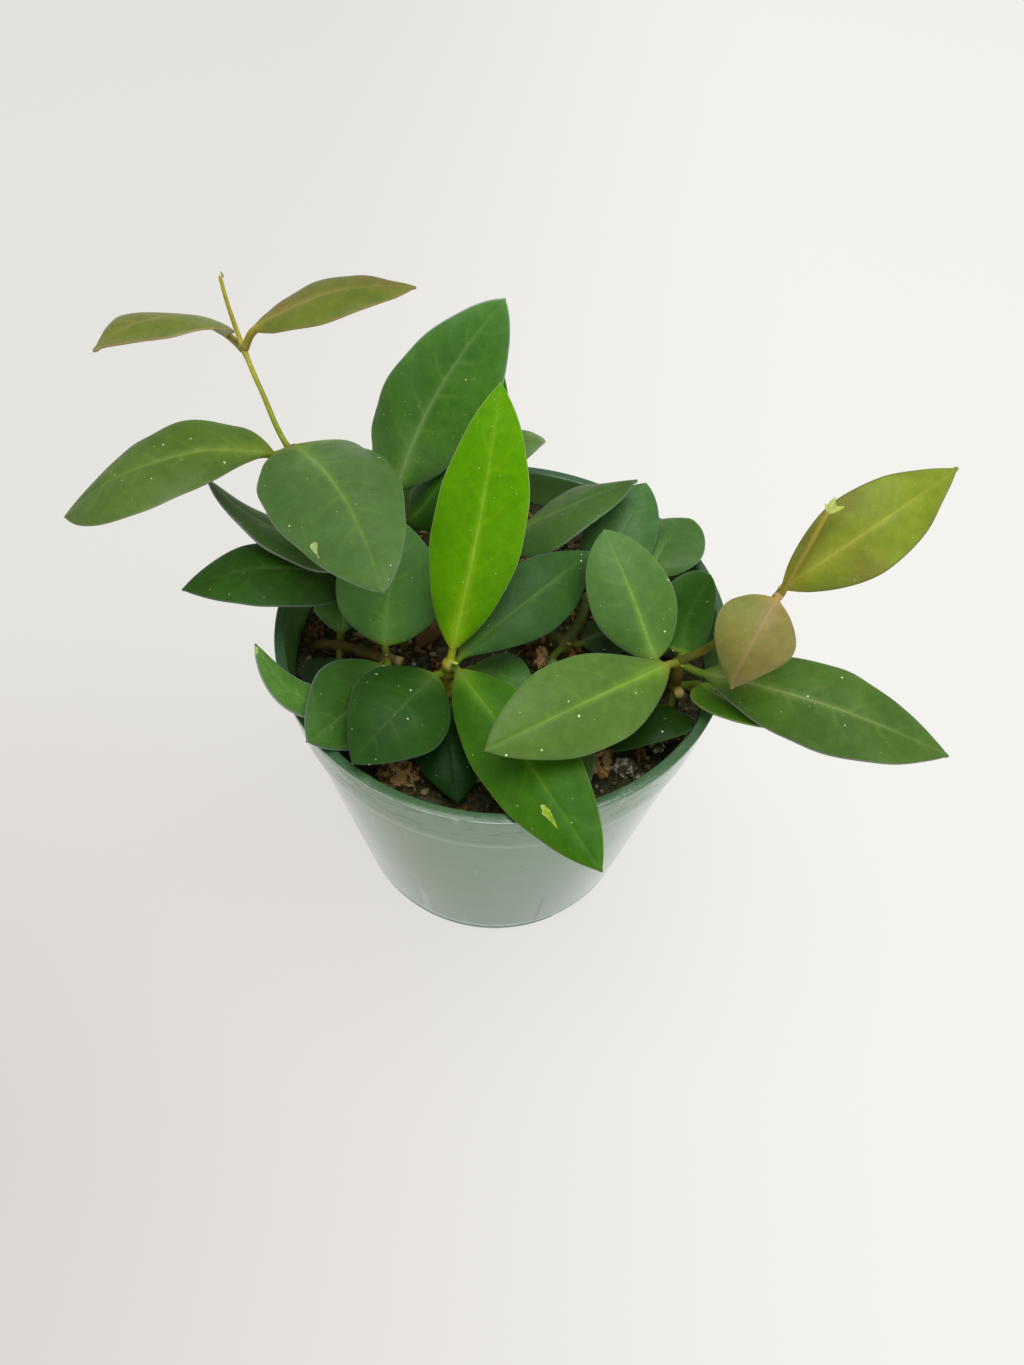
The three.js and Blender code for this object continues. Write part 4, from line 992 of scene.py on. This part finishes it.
def stem_line(line, from_mix, stem, cut):
    """Points, faces and layers of one stem line: swollen joints, ring marks, and a round or cut end."""
    points, radii, joints = stem_course(line, from_mix)
    places = []
    for i in range(len(points) - 1):
        count = max(4, int(np.linalg.norm(points[i + 1] - points[i]) / STEM_STEP))
        places.extend(i + k / count for k in range(count))
    places.append(len(points) - 1)
    centre = np.array([smooth_line(points, p) for p in places])
    gaps = np.linalg.norm(np.diff(centre, axis=0), axis=1)
    run = np.concatenate([[0], np.cumsum(gaps)])
    way = unit(np.gradient(centre, axis=0))
    radius = np.interp(places, range(len(radii)), radii)
    near = np.zeros(len(places))
    for i, joint in enumerate(joints):
        if joint:
            away = run - np.interp(i, places, run)
            near = np.maximum(near, np.exp(-((away / 1.5) ** 2)))
            radius = radius - 0.05 * np.exp(-((np.abs(away) - 2.1) / 0.25) ** 2)
    age = np.interp(run, [0, run[-1]], stem["woody"])
    radius = radius * (1 + (NODE_SWELL - 1) * near + 0.03 * age * np.sin(run * 2.6))
    if not cut:
        radius = radius * np.sqrt(np.clip((run[-1] - run) / (radius[-1] * 0.9), 0.04, 1))
    side = np.array([1.0, 0, 0])
    rings = []
    for c, w, r in zip(centre, way, radius):
        side = unit(side - w * side.dot(w))
        other = np.cross(w, side)
        angle = np.arange(STEM_SIDES) * 2 * math.pi / STEM_SIDES
        around = side * np.cos(angle)[:, None] + other * np.sin(angle)[:, None]
        lumps = np.array([noise.noise(Vector(p * 0.9)) for p in c + around])
        rings.append(c + around * (r * (1 + 0.05 * lumps))[:, None])
    each = np.ones((len(rings), STEM_SIDES))
    cork = np.zeros(len(rings))
    if cut:
        cork = smoothstep(run, run[-1] - 1.6, run[-1] - 0.5) * stem.get("corky", 1)
    layers = {
        "woody": (age[:, None] * each).ravel(),
        "shaded": (each * stem.get("shaded", 0)).ravel(),
        "light": (np.interp(run, [0, run[-1]], stem.get("light", (1, 1)))[:, None] * each).ravel(),
        "young": (smoothstep(run / run[-1], *stem.get("young", (1, 2)))[:, None] * each).ravel(),
        "joint": (near[:, None] * each).ravel(),
        "cork": (cork[:, None] * each).ravel(),
        "fresh": (each * 0).ravel(),
    }
    return np.concatenate(rings), tube_faces(len(rings), STEM_SIDES), layers


def bud(at, way, length, radius, fresh, flat=0.5):
    """A small pointed bud or leaflet: points, faces and layers."""
    at, way = np.array(at, float), unit(np.array(way, float))
    side = unit(np.cross(way, (0.3, 0.2, 1.0)))
    other = np.cross(way, side)
    rows, sides = 9, 12
    rings = []
    for i in range(rows):
        u = i / (rows - 1)
        r = radius * max(math.sin(math.pi * min(0.12 + u * 0.88, 1)) ** 0.8, 0.06)
        angle = np.arange(sides) * 2 * math.pi / sides
        bow = other * (0.18 * length * u * u)
        rings.append(at + way * length * u + bow + side * (r * np.cos(angle))[:, None]
                     + other * (r * flat * np.sin(angle))[:, None])
    each = np.ones(rows * sides)
    layers = {"woody": each * 0.1, "shaded": each * 0, "light": each, "young": each * 0,
              "joint": each * 0, "cork": each * 0, "fresh": each * fresh}
    return np.concatenate(rings), tube_faces(rows, sides), layers


# ---------- Potting mix ----------

def mix_height(x, y):
    """The rough level of the mix at a place."""
    lumps = 0.7 * math.sin(x / 5.1 + 1) * math.cos(y / 4.3)
    crumbs = 0.5 * math.sin(x / 2.9 + 2) * math.sin(y / 3.3)
    bank = MIX["bank"] * float(smoothstep(y, MIX["bank_from"], MIX["bank_to"]))
    return MIX["level"] + lumps + crumbs + bank


def mix_surface(x, y):
    """The level of the mix with its fine crumble."""
    coarse = noise.noise(Vector((x / 3.1, y / 3.1, 4.2)))
    fine = noise.noise(Vector((x / 1.1, y / 1.1, 9.7)))
    return mix_height(x, y) + 0.55 * coarse + 0.38 * fine


def inner_radius(z):
    """The bore of the pot at a height."""
    return min(POT["base"] + WALL_SLOPE * z - POT["wall"], POT["rim"] - POT["lip"])


def rough_ball(divisions):
    """Points and faces of a unit ball of triangles."""
    work = bmesh.new()
    bmesh.ops.create_icosphere(work, subdivisions=divisions, radius=1)
    points = np.array([v.co for v in work.verts])
    faces = [tuple(v.index for v in f.verts) for f in work.faces]
    work.free()
    return points, faces


def on_mix(draw, margin=2.0):
    """A random place on the mix."""
    while True:
        x, y = draw.uniform(-50, 50), draw.uniform(-50, 50)
        if math.hypot(x, y) < inner_radius(MIX["level"]) - margin:
            return x, y


def scatter(draw, count, sizes, squash, sink=0.2, divisions=2):
    """Random bits lying on the mix: sizes is the range of half lengths and squash of the other halves."""
    ball, faces = rough_ball(divisions)
    parts = []
    for i in range(count):
        long = draw.uniform(*sizes) if draw.random() < 0.7 else sizes[0]
        half = np.array([long, long * draw.uniform(*squash), long * draw.uniform(*squash)])
        bumps = 1 + 0.5 * np.array([noise.noise(Vector(p) * 1.7 + Vector((i * 1.37, 0, 0))) for p in ball])
        x, y = on_mix(draw, 1.5 + long)
        turn = Matrix.Rotation(draw.uniform(0, 6.3), 3, "Z")
        lean = Matrix.Rotation(draw.uniform(-0.5, 0.5), 3, "Y")
        spun = (ball * bumps[:, None] * half) @ np.array(turn @ lean).T
        low = spun[:, 2].min()
        place = np.array([x, y, mix_surface(x, y) - low * (1 - sink) - 0.25])
        parts.append((spun + place, faces, {"shade": np.full(len(ball), draw.random())}))
    return joined(parts)


def fibres(draw, count):
    """Thin curled root and peat fibres lying on the mix."""
    parts = []
    for _ in range(count):
        x, y = on_mix(draw, 4)
        heading = draw.uniform(0, 2 * math.pi)
        curl = draw.uniform(-0.35, 0.35)
        radius = draw.uniform(0.08, 0.17)
        rings = []
        rows, sides, step = 12, 6, draw.uniform(0.35, 0.8)
        for i in range(rows):
            z = mix_surface(x, y) + 0.35 + 0.25 * math.sin(i * 0.8 + heading)
            angle = np.arange(sides) * 2 * math.pi / sides
            across = np.array([-math.sin(heading), math.cos(heading), 0])
            thick = radius * (1 - 0.6 * i / rows)
            rings.append(np.array([x, y, z]) + across * (thick * np.cos(angle))[:, None]
                         + np.array([0, 0, 1]) * (thick * np.sin(angle))[:, None])
            x, y = x + step * math.cos(heading), y + step * math.sin(heading)
            heading += curl
        if math.hypot(x, y) < inner_radius(MIX["level"]) - 1:
            shade = np.full(rows * sides, draw.random())
            parts.append((np.concatenate(rings), tube_faces(rows, sides), {"shade": shade}))
    return joined(parts)


def chunk(centre, half, seed, kind, shade):
    """A bark chip with torn layers along its length, or a blistered lump of perlite."""
    ball, faces = rough_ball(5)
    lengthwise = int(np.argmax(half))
    points = []
    for p in ball:
        fine = abs(noise.noise(Vector(p) * 7.5 + Vector((seed, seed, 0))))
        if kind == "bark":
            grain = np.array(p) * 2.2
            grain[lengthwise] *= 0.35
            bump = 1 + 0.26 * noise.noise(Vector(grain * 1.6) + Vector((seed, 0, 0)))
            bump += 0.24 * abs(noise.noise(Vector(grain * 4.5) + Vector((0, seed, 0)))) + 0.12 * fine
            shape = np.sign(p) * np.abs(p) ** 0.72
        else:
            bump = 1 + 0.3 * noise.noise(Vector(p) * 1.6 + Vector((seed, 0, 0)))
            bump += 0.24 * abs(noise.noise(Vector(p) * 3.4 + Vector((0, seed, 0)))) + 0.2 * fine
            shape = np.array(p)
        points.append(shape * bump * half * 0.94)
    return np.array(points) + centre, faces, {"shade": np.full(len(ball), shade)}


# ---------- Pot ----------

def pot_profile():
    """Radii and heights around the pot's section, from the middle of its base to that of its floor."""
    top_radius = POT["band_low"] - POT["step"]
    lip = POT["rim"] - POT["lip"]
    straight_z = (lip + POT["wall"] - POT["base"]) / WALL_SLOPE
    soft = POT["rim_round"]

    def wall(z):
        return POT["base"] + WALL_SLOPE * z

    def corner(r, z, way_in, way_out, steps=5):
        """A rounded corner at (r, z) between two directions, each scaled by the rounding."""
        for k in range(steps + 1):
            u = k / steps
            before, after = (1 - u) ** 2, u**2
            yield r + way_in[0] * before + way_out[0] * after, z + way_in[1] * before + way_out[1] * after

    profile = [(0, 0), (POT["base"] - 6, 0)]
    profile += corner(POT["base"] + 0.02, 0, (-POT["round"], 0), (0.05, POT["round"]))
    groove = POT["groove"]
    profile += [(wall(2.6), 2.6), (wall(2.75) - groove, 2.8), (wall(3.1) - groove, 3.1), (wall(3.3), 3.3)]
    profile += [(wall(z), z) for z in np.linspace(5, BAND_FOOT - 2, 16)]
    profile += [(top_radius, BAND_FOOT - POT["step"]), (top_radius + 0.3, BAND_FOOT - 0.45)]
    profile += corner(POT["band_low"], BAND_FOOT, (-0.25, -0.2), (0.02, 0.35), 3)
    profile += [(POT["band_low"] + (POT["rim"] - POT["band_low"]) * u, BAND_FOOT + (POT["band"] - soft) * u)
                for u in (0.2, 0.4, 0.6, 0.8, 0.94)]
    profile += corner(POT["rim"], POT["height"], (0, -soft), (-soft * 0.7, 0))
    profile += [(lip + POT["lip"] * 0.5, POT["height"] + 0.02)]
    profile += corner(lip, POT["height"], (soft, 0), (0, -soft))
    profile += [(lip, POT["height"] - 4), (lip, straight_z)]
    profile += [(inner_radius(z), z) for z in np.linspace(straight_z - 3, POT["floor"] + 1.5, 12)]
    profile += [(inner_radius(POT["floor"]) - 1.2, POT["floor"]), (0, POT["floor"])]
    return profile


def pot_shape():
    """Points and faces of the pot, turned from its profile; slots are cut afterwards."""
    profile = pot_profile()
    count = POT["sides"]
    angle = np.arange(count) * 2 * math.pi / count
    rings, faces = [], []
    for r, z in profile[1:-1]:
        wobble = 0.12 * np.sin(2 * angle + 0.6) + 0.07 * np.sin(3 * angle)
        r = r + wobble * smoothstep(z, 20, POT["height"])
        rings.append(np.stack([r * np.cos(angle), r * np.sin(angle), np.full(count, z)], axis=1))
    for i in range(len(rings) - 1):
        for k in range(count):
            a, b = i * count + k, i * count + (k + 1) % count
            faces.append((a, b, b + count, a + count))
    points = np.concatenate([*rings, [(0, 0, profile[0][1])], [(0, 0, profile[-1][1])]])
    low, high, last = len(points) - 2, len(points) - 1, (len(rings) - 1) * count
    for k in range(count):
        after = (k + 1) % count
        faces.append((low, after, k))
        faces.append((high, last + k, last + after))
    return points, faces


def cut_slots(pot):
    """Cuts the notches in the pot's foot and the drain holes behind them."""
    drain_middle = POT["base"] - POT["slot_depth"] + POT["drain_overlap"] - POT["drain_length"] / 2
    cutters = []
    for out, size in (
        (POT["base"], (2 * POT["slot_depth"], POT["slot_width"], 2 * POT["slot_height"])),
        (drain_middle, (POT["drain_length"], POT["drain_width"], 4 * POT["floor"])),
    ):
        work = bmesh.new()
        for i in range(POT["slots"]):
            made = bmesh.ops.create_cube(work, size=1)["verts"]
            bmesh.ops.scale(work, vec=Vector(size) * MM, verts=made)
            bmesh.ops.translate(work, vec=(out * MM, 0, 0), verts=made)
            turn = math.radians(POT["slot_turn"]) + i * 2 * math.pi / POT["slots"]
            bmesh.ops.transform(work, matrix=Matrix.Rotation(turn, 4, "Z"), verts=made)
        mesh = bpy.data.meshes.new("slots")
        work.to_mesh(mesh)
        work.free()
        cutters.append(bpy.data.objects.new("slots", mesh))
        bpy.context.scene.collection.objects.link(cutters[-1])
        cut = pot.modifiers.new("Slots", "BOOLEAN")
        cut.operation = "DIFFERENCE"
        cut.solver = "EXACT"
        cut.object = cutters[-1]
    shaped = bpy.data.meshes.new_from_object(pot.evaluated_get(bpy.context.evaluated_depsgraph_get()))
    pot.modifiers.clear()
    pot.data = shaped
    for cutter in cutters:
        bpy.data.objects.remove(cutter)


# ---------- Settings ----------

class HoyaPotSettings(bpy.types.PropertyGroup):
    """Looks of the pot."""

    colour: bpy.props.FloatVectorProperty(
        name="Plastic colour", description="Colour of the moulded plastic", subtype="COLOR", size=4,
        min=0, max=1, default=tint(0x587E5A))
    roughness: bpy.props.FloatProperty(
        name="Roughness", description="Roughness of the plastic's surface", default=0.1, min=0, max=1,
        subtype="FACTOR")


class HoyaMixSettings(bpy.types.PropertyGroup):
    """Amounts of loose bits in the potting mix."""

    crumbs: bpy.props.IntProperty(name="Crumbs", description="Number of peat crumbs", default=900, min=0)
    slivers: bpy.props.IntProperty(name="Slivers", description="Number of bark slivers", default=210, min=0)
    grains: bpy.props.IntProperty(name="Grains", description="Number of perlite grains", default=46, min=0)
    fibres: bpy.props.IntProperty(name="Fibres", description="Number of peat fibres", default=90, min=0)
    seed: bpy.props.IntProperty(name="Seed", description="Seed of the random places", default=7)


class HoyaLeafSettings(bpy.types.PropertyGroup):
    """Finish of the leaves."""

    gloss: bpy.props.FloatProperty(
        name="Gloss", description="Strength of the waxy reflection", default=1.0, min=0, max=3)
    roughness: bpy.props.FloatProperty(
        name="Roughness", description="Roughness of the leaf skin", default=0.42, min=0, max=1,
        subtype="FACTOR")
    vein_strength: bpy.props.FloatProperty(
        name="Side veins", description="How clearly the side veins show", default=0.13, min=0, max=1,
        subtype="FACTOR")
    dust: bpy.props.FloatProperty(
        name="Dust", description="Share of the skin's cells that hold a white speck", default=0.16,
        min=0, max=1, subtype="FACTOR")


class HoyaStageSettings(bpy.types.PropertyGroup):
    """Floor and light."""

    floor_size: bpy.props.FloatProperty(
        name="Floor size", description="Length of the floor's sides", default=6.0, min=0.5, unit="LENGTH")
    floor_colour: bpy.props.FloatVectorProperty(
        name="Floor colour", description="Colour of the table top under the lamps", subtype="COLOR",
        size=4, min=0, max=1, default=tint(0x60605E))
    left: bpy.props.FloatVectorProperty(
        name="Glow at left", description="Light of the table at the left", subtype="COLOR", size=4,
        min=0, max=1, default=tint(0xD5D3CF))
    near_left: bpy.props.FloatVectorProperty(
        name="Glow near left", description="Light of the table nearest at the left", subtype="COLOR",
        size=4, min=0, max=1, default=tint(0xC8C1BD))
    right: bpy.props.FloatVectorProperty(
        name="Glow at right", description="Light of the table at the right", subtype="COLOR", size=4, min=0,
        max=1, default=tint(0xE4E3DF))
    sky: bpy.props.FloatProperty(
        name="Sky light", description="Strength of the even light from all around", default=0.45, min=0)
    key_power: bpy.props.FloatProperty(
        name="Key light", description="Power of the soft light overhead", default=10.0, min=0, unit="POWER")
    front_power: bpy.props.FloatProperty(
        name="Front light", description="Power of the soft light low in front", default=2.0, min=0,
        unit="POWER")


SETTINGS = {
    "hoya_pot": HoyaPotSettings,
    "hoya_mix": HoyaMixSettings,
    "hoya_leaf": HoyaLeafSettings,
    "hoya_stage": HoyaStageSettings,
}


# ---------- Operators ----------

class HOYA_OT_add_pot(bpy.types.Operator):
    """Add the nursery pot with its rim band, lip and drain slots"""

    bl_idname = "hoya.add_pot"
    bl_label = "Add Pot"

    def execute(self, context):
        pot = solid_piece("nursery_pot", *pot_shape(), pot_material(context.scene.hoya_pot))
        cut_slots(pot)
        places = np.array([v.co for v in pot.data.vertices]) / MM
        around, high = np.hypot(places[:, 0], places[:, 1]), places[:, 2]
        bore = np.array([inner_radius(z) for z in high])
        inside = (around < bore + 0.3) & (high > POT["floor"] - 0.3)
        turn = np.arctan2(places[:, 1], places[:, 0]) - math.radians(STAIN["turn"])
        across = around * np.where(np.cos(turn) > 0, np.sin(turn), 9)
        add_layers(pot.data, {
            # inside and rim mark the bore, painted brighter as light, and the rim top, painted darker as
            # shade.
            "inside": inside * (1 - smoothstep(high, POT["height"] - 0.6, POT["height"])),
            "rim": smoothstep(high, POT["height"] - 0.45, POT["height"] - 0.1),
            # lip marks a painted white highlight along the rim's outer edge and a fainter one along the
            # band's step.
            "lip": np.maximum(
                np.exp(-(np.hypot(around - POT["rim"] + 0.06, high - POT["height"] + 0.2) / 0.11) ** 2),
                0.2 * np.exp(-((high - BAND_FOOT - 0.2) / 0.3) ** 2)),
            "stain": np.exp(-((across / STAIN["half"]) ** 2)) * smoothstep(high, *STAIN["foot"])
                     * (1 - smoothstep(high, *STAIN["top"])) * ~inside,
        })
        settle(pot, "pot_plastic", "pot")
        return {"FINISHED"}


class HOYA_OT_add_mix(bpy.types.Operator):
    """Add the crumbly body of the potting mix"""

    bl_idname = "hoya.add_mix"
    bl_label = "Add Potting Mix"

    def execute(self, context):
        count, gap = MIX["sides"], MIX["gap"]
        angle = np.arange(count) * 2 * math.pi / count
        edge = inner_radius(MIX["level"]) - MIX["top_gap"]
        rings = []
        for z in (POT["floor"] + gap, MIX["middle"]):
            r = inner_radius(z) - gap
            rings.append(np.stack([r * np.cos(angle), r * np.sin(angle), np.full(count, z)], axis=1))
        for i in range(MIX["rings"], 0, -1):
            r = edge * i / MIX["rings"]
            x, y = r * np.cos(angle), r * np.sin(angle)
            z = [mix_surface(a, b) for a, b in zip(x, y)]
            rings.append(np.stack([x, y, z], axis=1))
        points = np.concatenate(rings)
        faces = tube_faces(len(rings), count)
        layers = {"shade": np.full(len(points), 0.25)}
        # Painted light: the peat is coloured lighter than real peat, to lift the shade that falls in the
        # pot under the leaves.
        peat = crumb_material("Peat", 0x1C1E14, 0x787452, 0.95, 700.0)
        mix = solid_piece("peat_mix", points, faces, peat, layers)
        settle(mix, "potting_mix", "potting_mix")
        return {"FINISHED"}


class HOYA_OT_add_crumbs(bpy.types.Operator):
    """Scatter peat crumbs, bark slivers, fibres and perlite grains over the mix"""

    bl_idname = "hoya.add_crumbs"
    bl_label = "Add Crumbs"

    def execute(self, context):
        amounts = context.scene.hoya_mix
        draw = random.Random(amounts.seed)
        # Painted light: the peat crumbs and bark slivers are coloured lighter than the real things, to lift
        # the shade in the pot.
        kinds = (
            ("peat_crumbs", "potting_mix",
             scatter(draw, amounts.crumbs, (0.45, 1.3), (0.5, 0.9), divisions=1),
             crumb_material("Peat crumbs", 0x1C1C12, 0x96885E)),
            ("bark_slivers", "chip_bark", scatter(draw, amounts.slivers, (0.9, 2.6), (0.25, 0.6)),
             crumb_material("Bark slivers", 0x2E1E10, 0xC49250)),
            ("perlite_grains", "chip_perlite", scatter(draw, amounts.grains, (0.35, 0.9), (0.7, 1.0)),
             crumb_material("Perlite grains", 0x9A9484, 0xE8E4DA)),
            ("peat_fibres", "chip_bark", fibres(draw, amounts.fibres),
             crumb_material("Peat fibres", 0x4A2E16, 0xC89A5C)),
        )
        for name, slot, shape, material in kinds:
            settle(solid_piece(name, *shape[:2], material, shape[2]), slot)
        return {"FINISHED"}


class HOYA_OT_add_chips(bpy.types.Operator):
    """Add the large bark chips, lumps of perlite and the dead leaf that lie in the mix"""

    bl_idname = "hoya.add_chips"
    bl_label = "Add Chips"

    def execute(self, context):
        # Painted light: the bark chips and the dead leaf are coloured lighter than the real things, to lift
        # the shade under the leaves.
        bark = crumb_material("Bark chips", 0x5A4028, 0xE4B87A, 0.85, 800.0, pits=0x3A2818)
        perlite = crumb_material("Perlite", 0x787058, 0xF0E8D0, 0.9, 700.0, pits=0x3A2E1E, pitted=0.5)
        for i, (node, centre, half, kind, shade) in enumerate(CHIPS):
            points, faces, layers = chunk(np.array(centre), np.array(half), 11 + i, kind, shade)
            chip = solid_piece(node + "_piece", points, faces, bark if kind == "bark" else perlite, layers)
            settle(chip, "chip_" + kind, node)
        points, faces, layers = leaf_shape(**DEAD_LEAF)
        layers = {"shade": 0.3 + 0.5 * (1 - layers["along"])}
        brown = crumb_material("Dead leaf", 0x261C10, 0x745A34, 0.6)
        leaf = solid_piece("dead_leaf_piece", points, faces, brown, layers)
        settle(leaf, "chip_bark", "dead_leaf")
        return {"FINISHED"}


class HOYA_OT_add_stems(bpy.types.Operator):
    """Add the vines with their swollen joints, buds, cut ends and growing tips"""

    bl_idname = "hoya.add_stems"
    bl_label = "Add Stems"

    def execute(self, context):
        skin = stem_material()
        for name, stem in STEMS.items():
            parts = []
            for i, line in enumerate(stem["lines"]):
                parts.append(stem_line(line, i == 0, stem, i in stem.get("cut", ())))
            parts += [bud(*b) for b in BUDS.get(name, ())]
            points, faces, layers = joined(parts)
            settle(solid_piece(name + "_vine", points, faces, skin, layers), "stem", name)
        return {"FINISHED"}


class HOYA_OT_add_leaves(bpy.types.Operator):
    """Add every leaf, blade and petiole in one piece"""

    bl_idname = "hoya.add_leaves"
    bl_label = "Add Leaves"

    def execute(self, context):
        skins = {tone: leaf_material(tone, context.scene.hoya_leaf) for tone in TONES}
        for seed, (name, node, base, tip, width, tone, lie) in enumerate(LEAVES):
            start, looks = leaf_start(node, base), LOOKS.get(name)
            points, faces, layers = leaf_shape(start, base, tip, width, lie, seed, looks)
            settle(solid_piece(name + "_blade", points, faces, skins[tone], layers), "leaf_" + tone, name)
        return {"FINISHED"}


class HOYA_OT_add_stage(bpy.types.Operator):
    """Add the table top, the soft light and the camera"""

    bl_idname = "hoya.add_stage"
    bl_label = "Add Stage"

    def execute(self, context):
        stage = context.scene.hoya_stage
        self.add_floor(stage)
        self.add_light(context.scene, stage)
        self.add_camera(context.scene)
        return {"FINISHED"}

    def add_floor(self, stage):
        mesh = bpy.data.meshes.new("table_top")
        half = stage.floor_size / 2
        corners = [(x * half, y * half, 0) for x, y in ((-1, -1), (1, -1), (1, 1), (-1, 1))]
        mesh.from_pydata(corners, [], [(0, 1, 2, 3)])
        floor = bpy.data.objects.new("table_top", mesh)
        bpy.context.scene.collection.objects.link(floor)
        mesh.materials.append(floor_material(stage))

    def add_light(self, scene, stage):
        scene.world = bpy.data.worlds.new("Studio")
        scene.world.use_nodes = True
        sky = scene.world.node_tree.nodes["Background"]
        sky.inputs["Color"].default_value = (1.0, 0.995, 0.985, 1.0)
        sky.inputs["Strength"].default_value = stage.sky
        for name, power, place in (
            ("overhead", stage.key_power, (0.1, 0.0, 1.15)),
            ("front", stage.front_power, (0.5, -0.9, 0.5)),
        ):
            lamp = bpy.data.lights.new(name, "AREA")
            lamp.shape = "DISK"
            lamp.size = 0.9
            lamp.energy = power
            light = bpy.data.objects.new(name, lamp)
            light.location = place
            towards = Vector((0, 0, 0.1)) - light.location
            light.rotation_euler = towards.to_track_quat("-Z", "Y").to_euler()
            scene.collection.objects.link(light)
        scene.view_settings.view_transform = "Standard"

    def add_camera(self, scene):
        pitch, roll = math.radians(VIEW["pitch"]), math.radians(VIEW["roll"])
        forward = Vector((0, math.cos(pitch), -math.sin(pitch)))
        level = Vector((1, 0, 0))
        over = level.cross(forward)
        right = math.cos(roll) * level + math.sin(roll) * over
        up = math.cos(roll) * over - math.sin(roll) * level
        lens = bpy.data.cameras.new("viewpoint")
        lens.sensor_width = 36
        lens.lens = lens.sensor_width * VIEW["focal"] / VIEW["tall"]
        lens.clip_start = 0.01
        camera = bpy.data.objects.new("viewpoint", lens)
        axes = Matrix((right, up, -forward)).transposed().to_4x4()
        camera.matrix_world = Matrix.Translation(Vector(VIEW["place"]) * MM) @ axes
        scene.collection.objects.link(camera)
        scene.camera = camera


OPERATORS = (
    HOYA_OT_add_stage,
    HOYA_OT_add_pot,
    HOYA_OT_add_mix,
    HOYA_OT_add_crumbs,
    HOYA_OT_add_chips,
    HOYA_OT_add_stems,
    HOYA_OT_add_leaves,
)


class HOYA_PT_parts(bpy.types.Panel):
    """The plant's parts and their settings"""

    bl_label = "Potted hoya"
    bl_idname = "HOYA_PT_parts"
    bl_space_type = "VIEW_3D"
    bl_region_type = "UI"
    bl_category = "Hoya"

    def draw(self, context):
        for kind in OPERATORS:
            self.layout.operator(kind.bl_idname)
        for name, kind in SETTINGS.items():
            box = self.layout.box()
            for field in kind.__annotations__:
                box.prop(getattr(context.scene, name), field)


CLASSES = (*SETTINGS.values(), *OPERATORS, HOYA_PT_parts)


def register():
    """Adds the classes, and the settings to every scene."""
    for kind in CLASSES:
        bpy.utils.register_class(kind)
    for name, kind in SETTINGS.items():
        setattr(bpy.types.Scene, name, bpy.props.PointerProperty(type=kind))


def unregister():
    """Takes the settings and the classes away again."""
    for name in SETTINGS:
        delattr(bpy.types.Scene, name)
    for kind in reversed(CLASSES):
        bpy.utils.unregister_class(kind)


def main():
    """Builds the stage and the plant."""
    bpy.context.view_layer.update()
    register()
    bpy.ops.hoya.add_stage()
    bpy.ops.hoya.add_pot()
    bpy.ops.hoya.add_mix()
    bpy.ops.hoya.add_crumbs()
    bpy.ops.hoya.add_chips()
    bpy.ops.hoya.add_stems()
    bpy.ops.hoya.add_leaves()


if __name__ == "__main__":
    main()
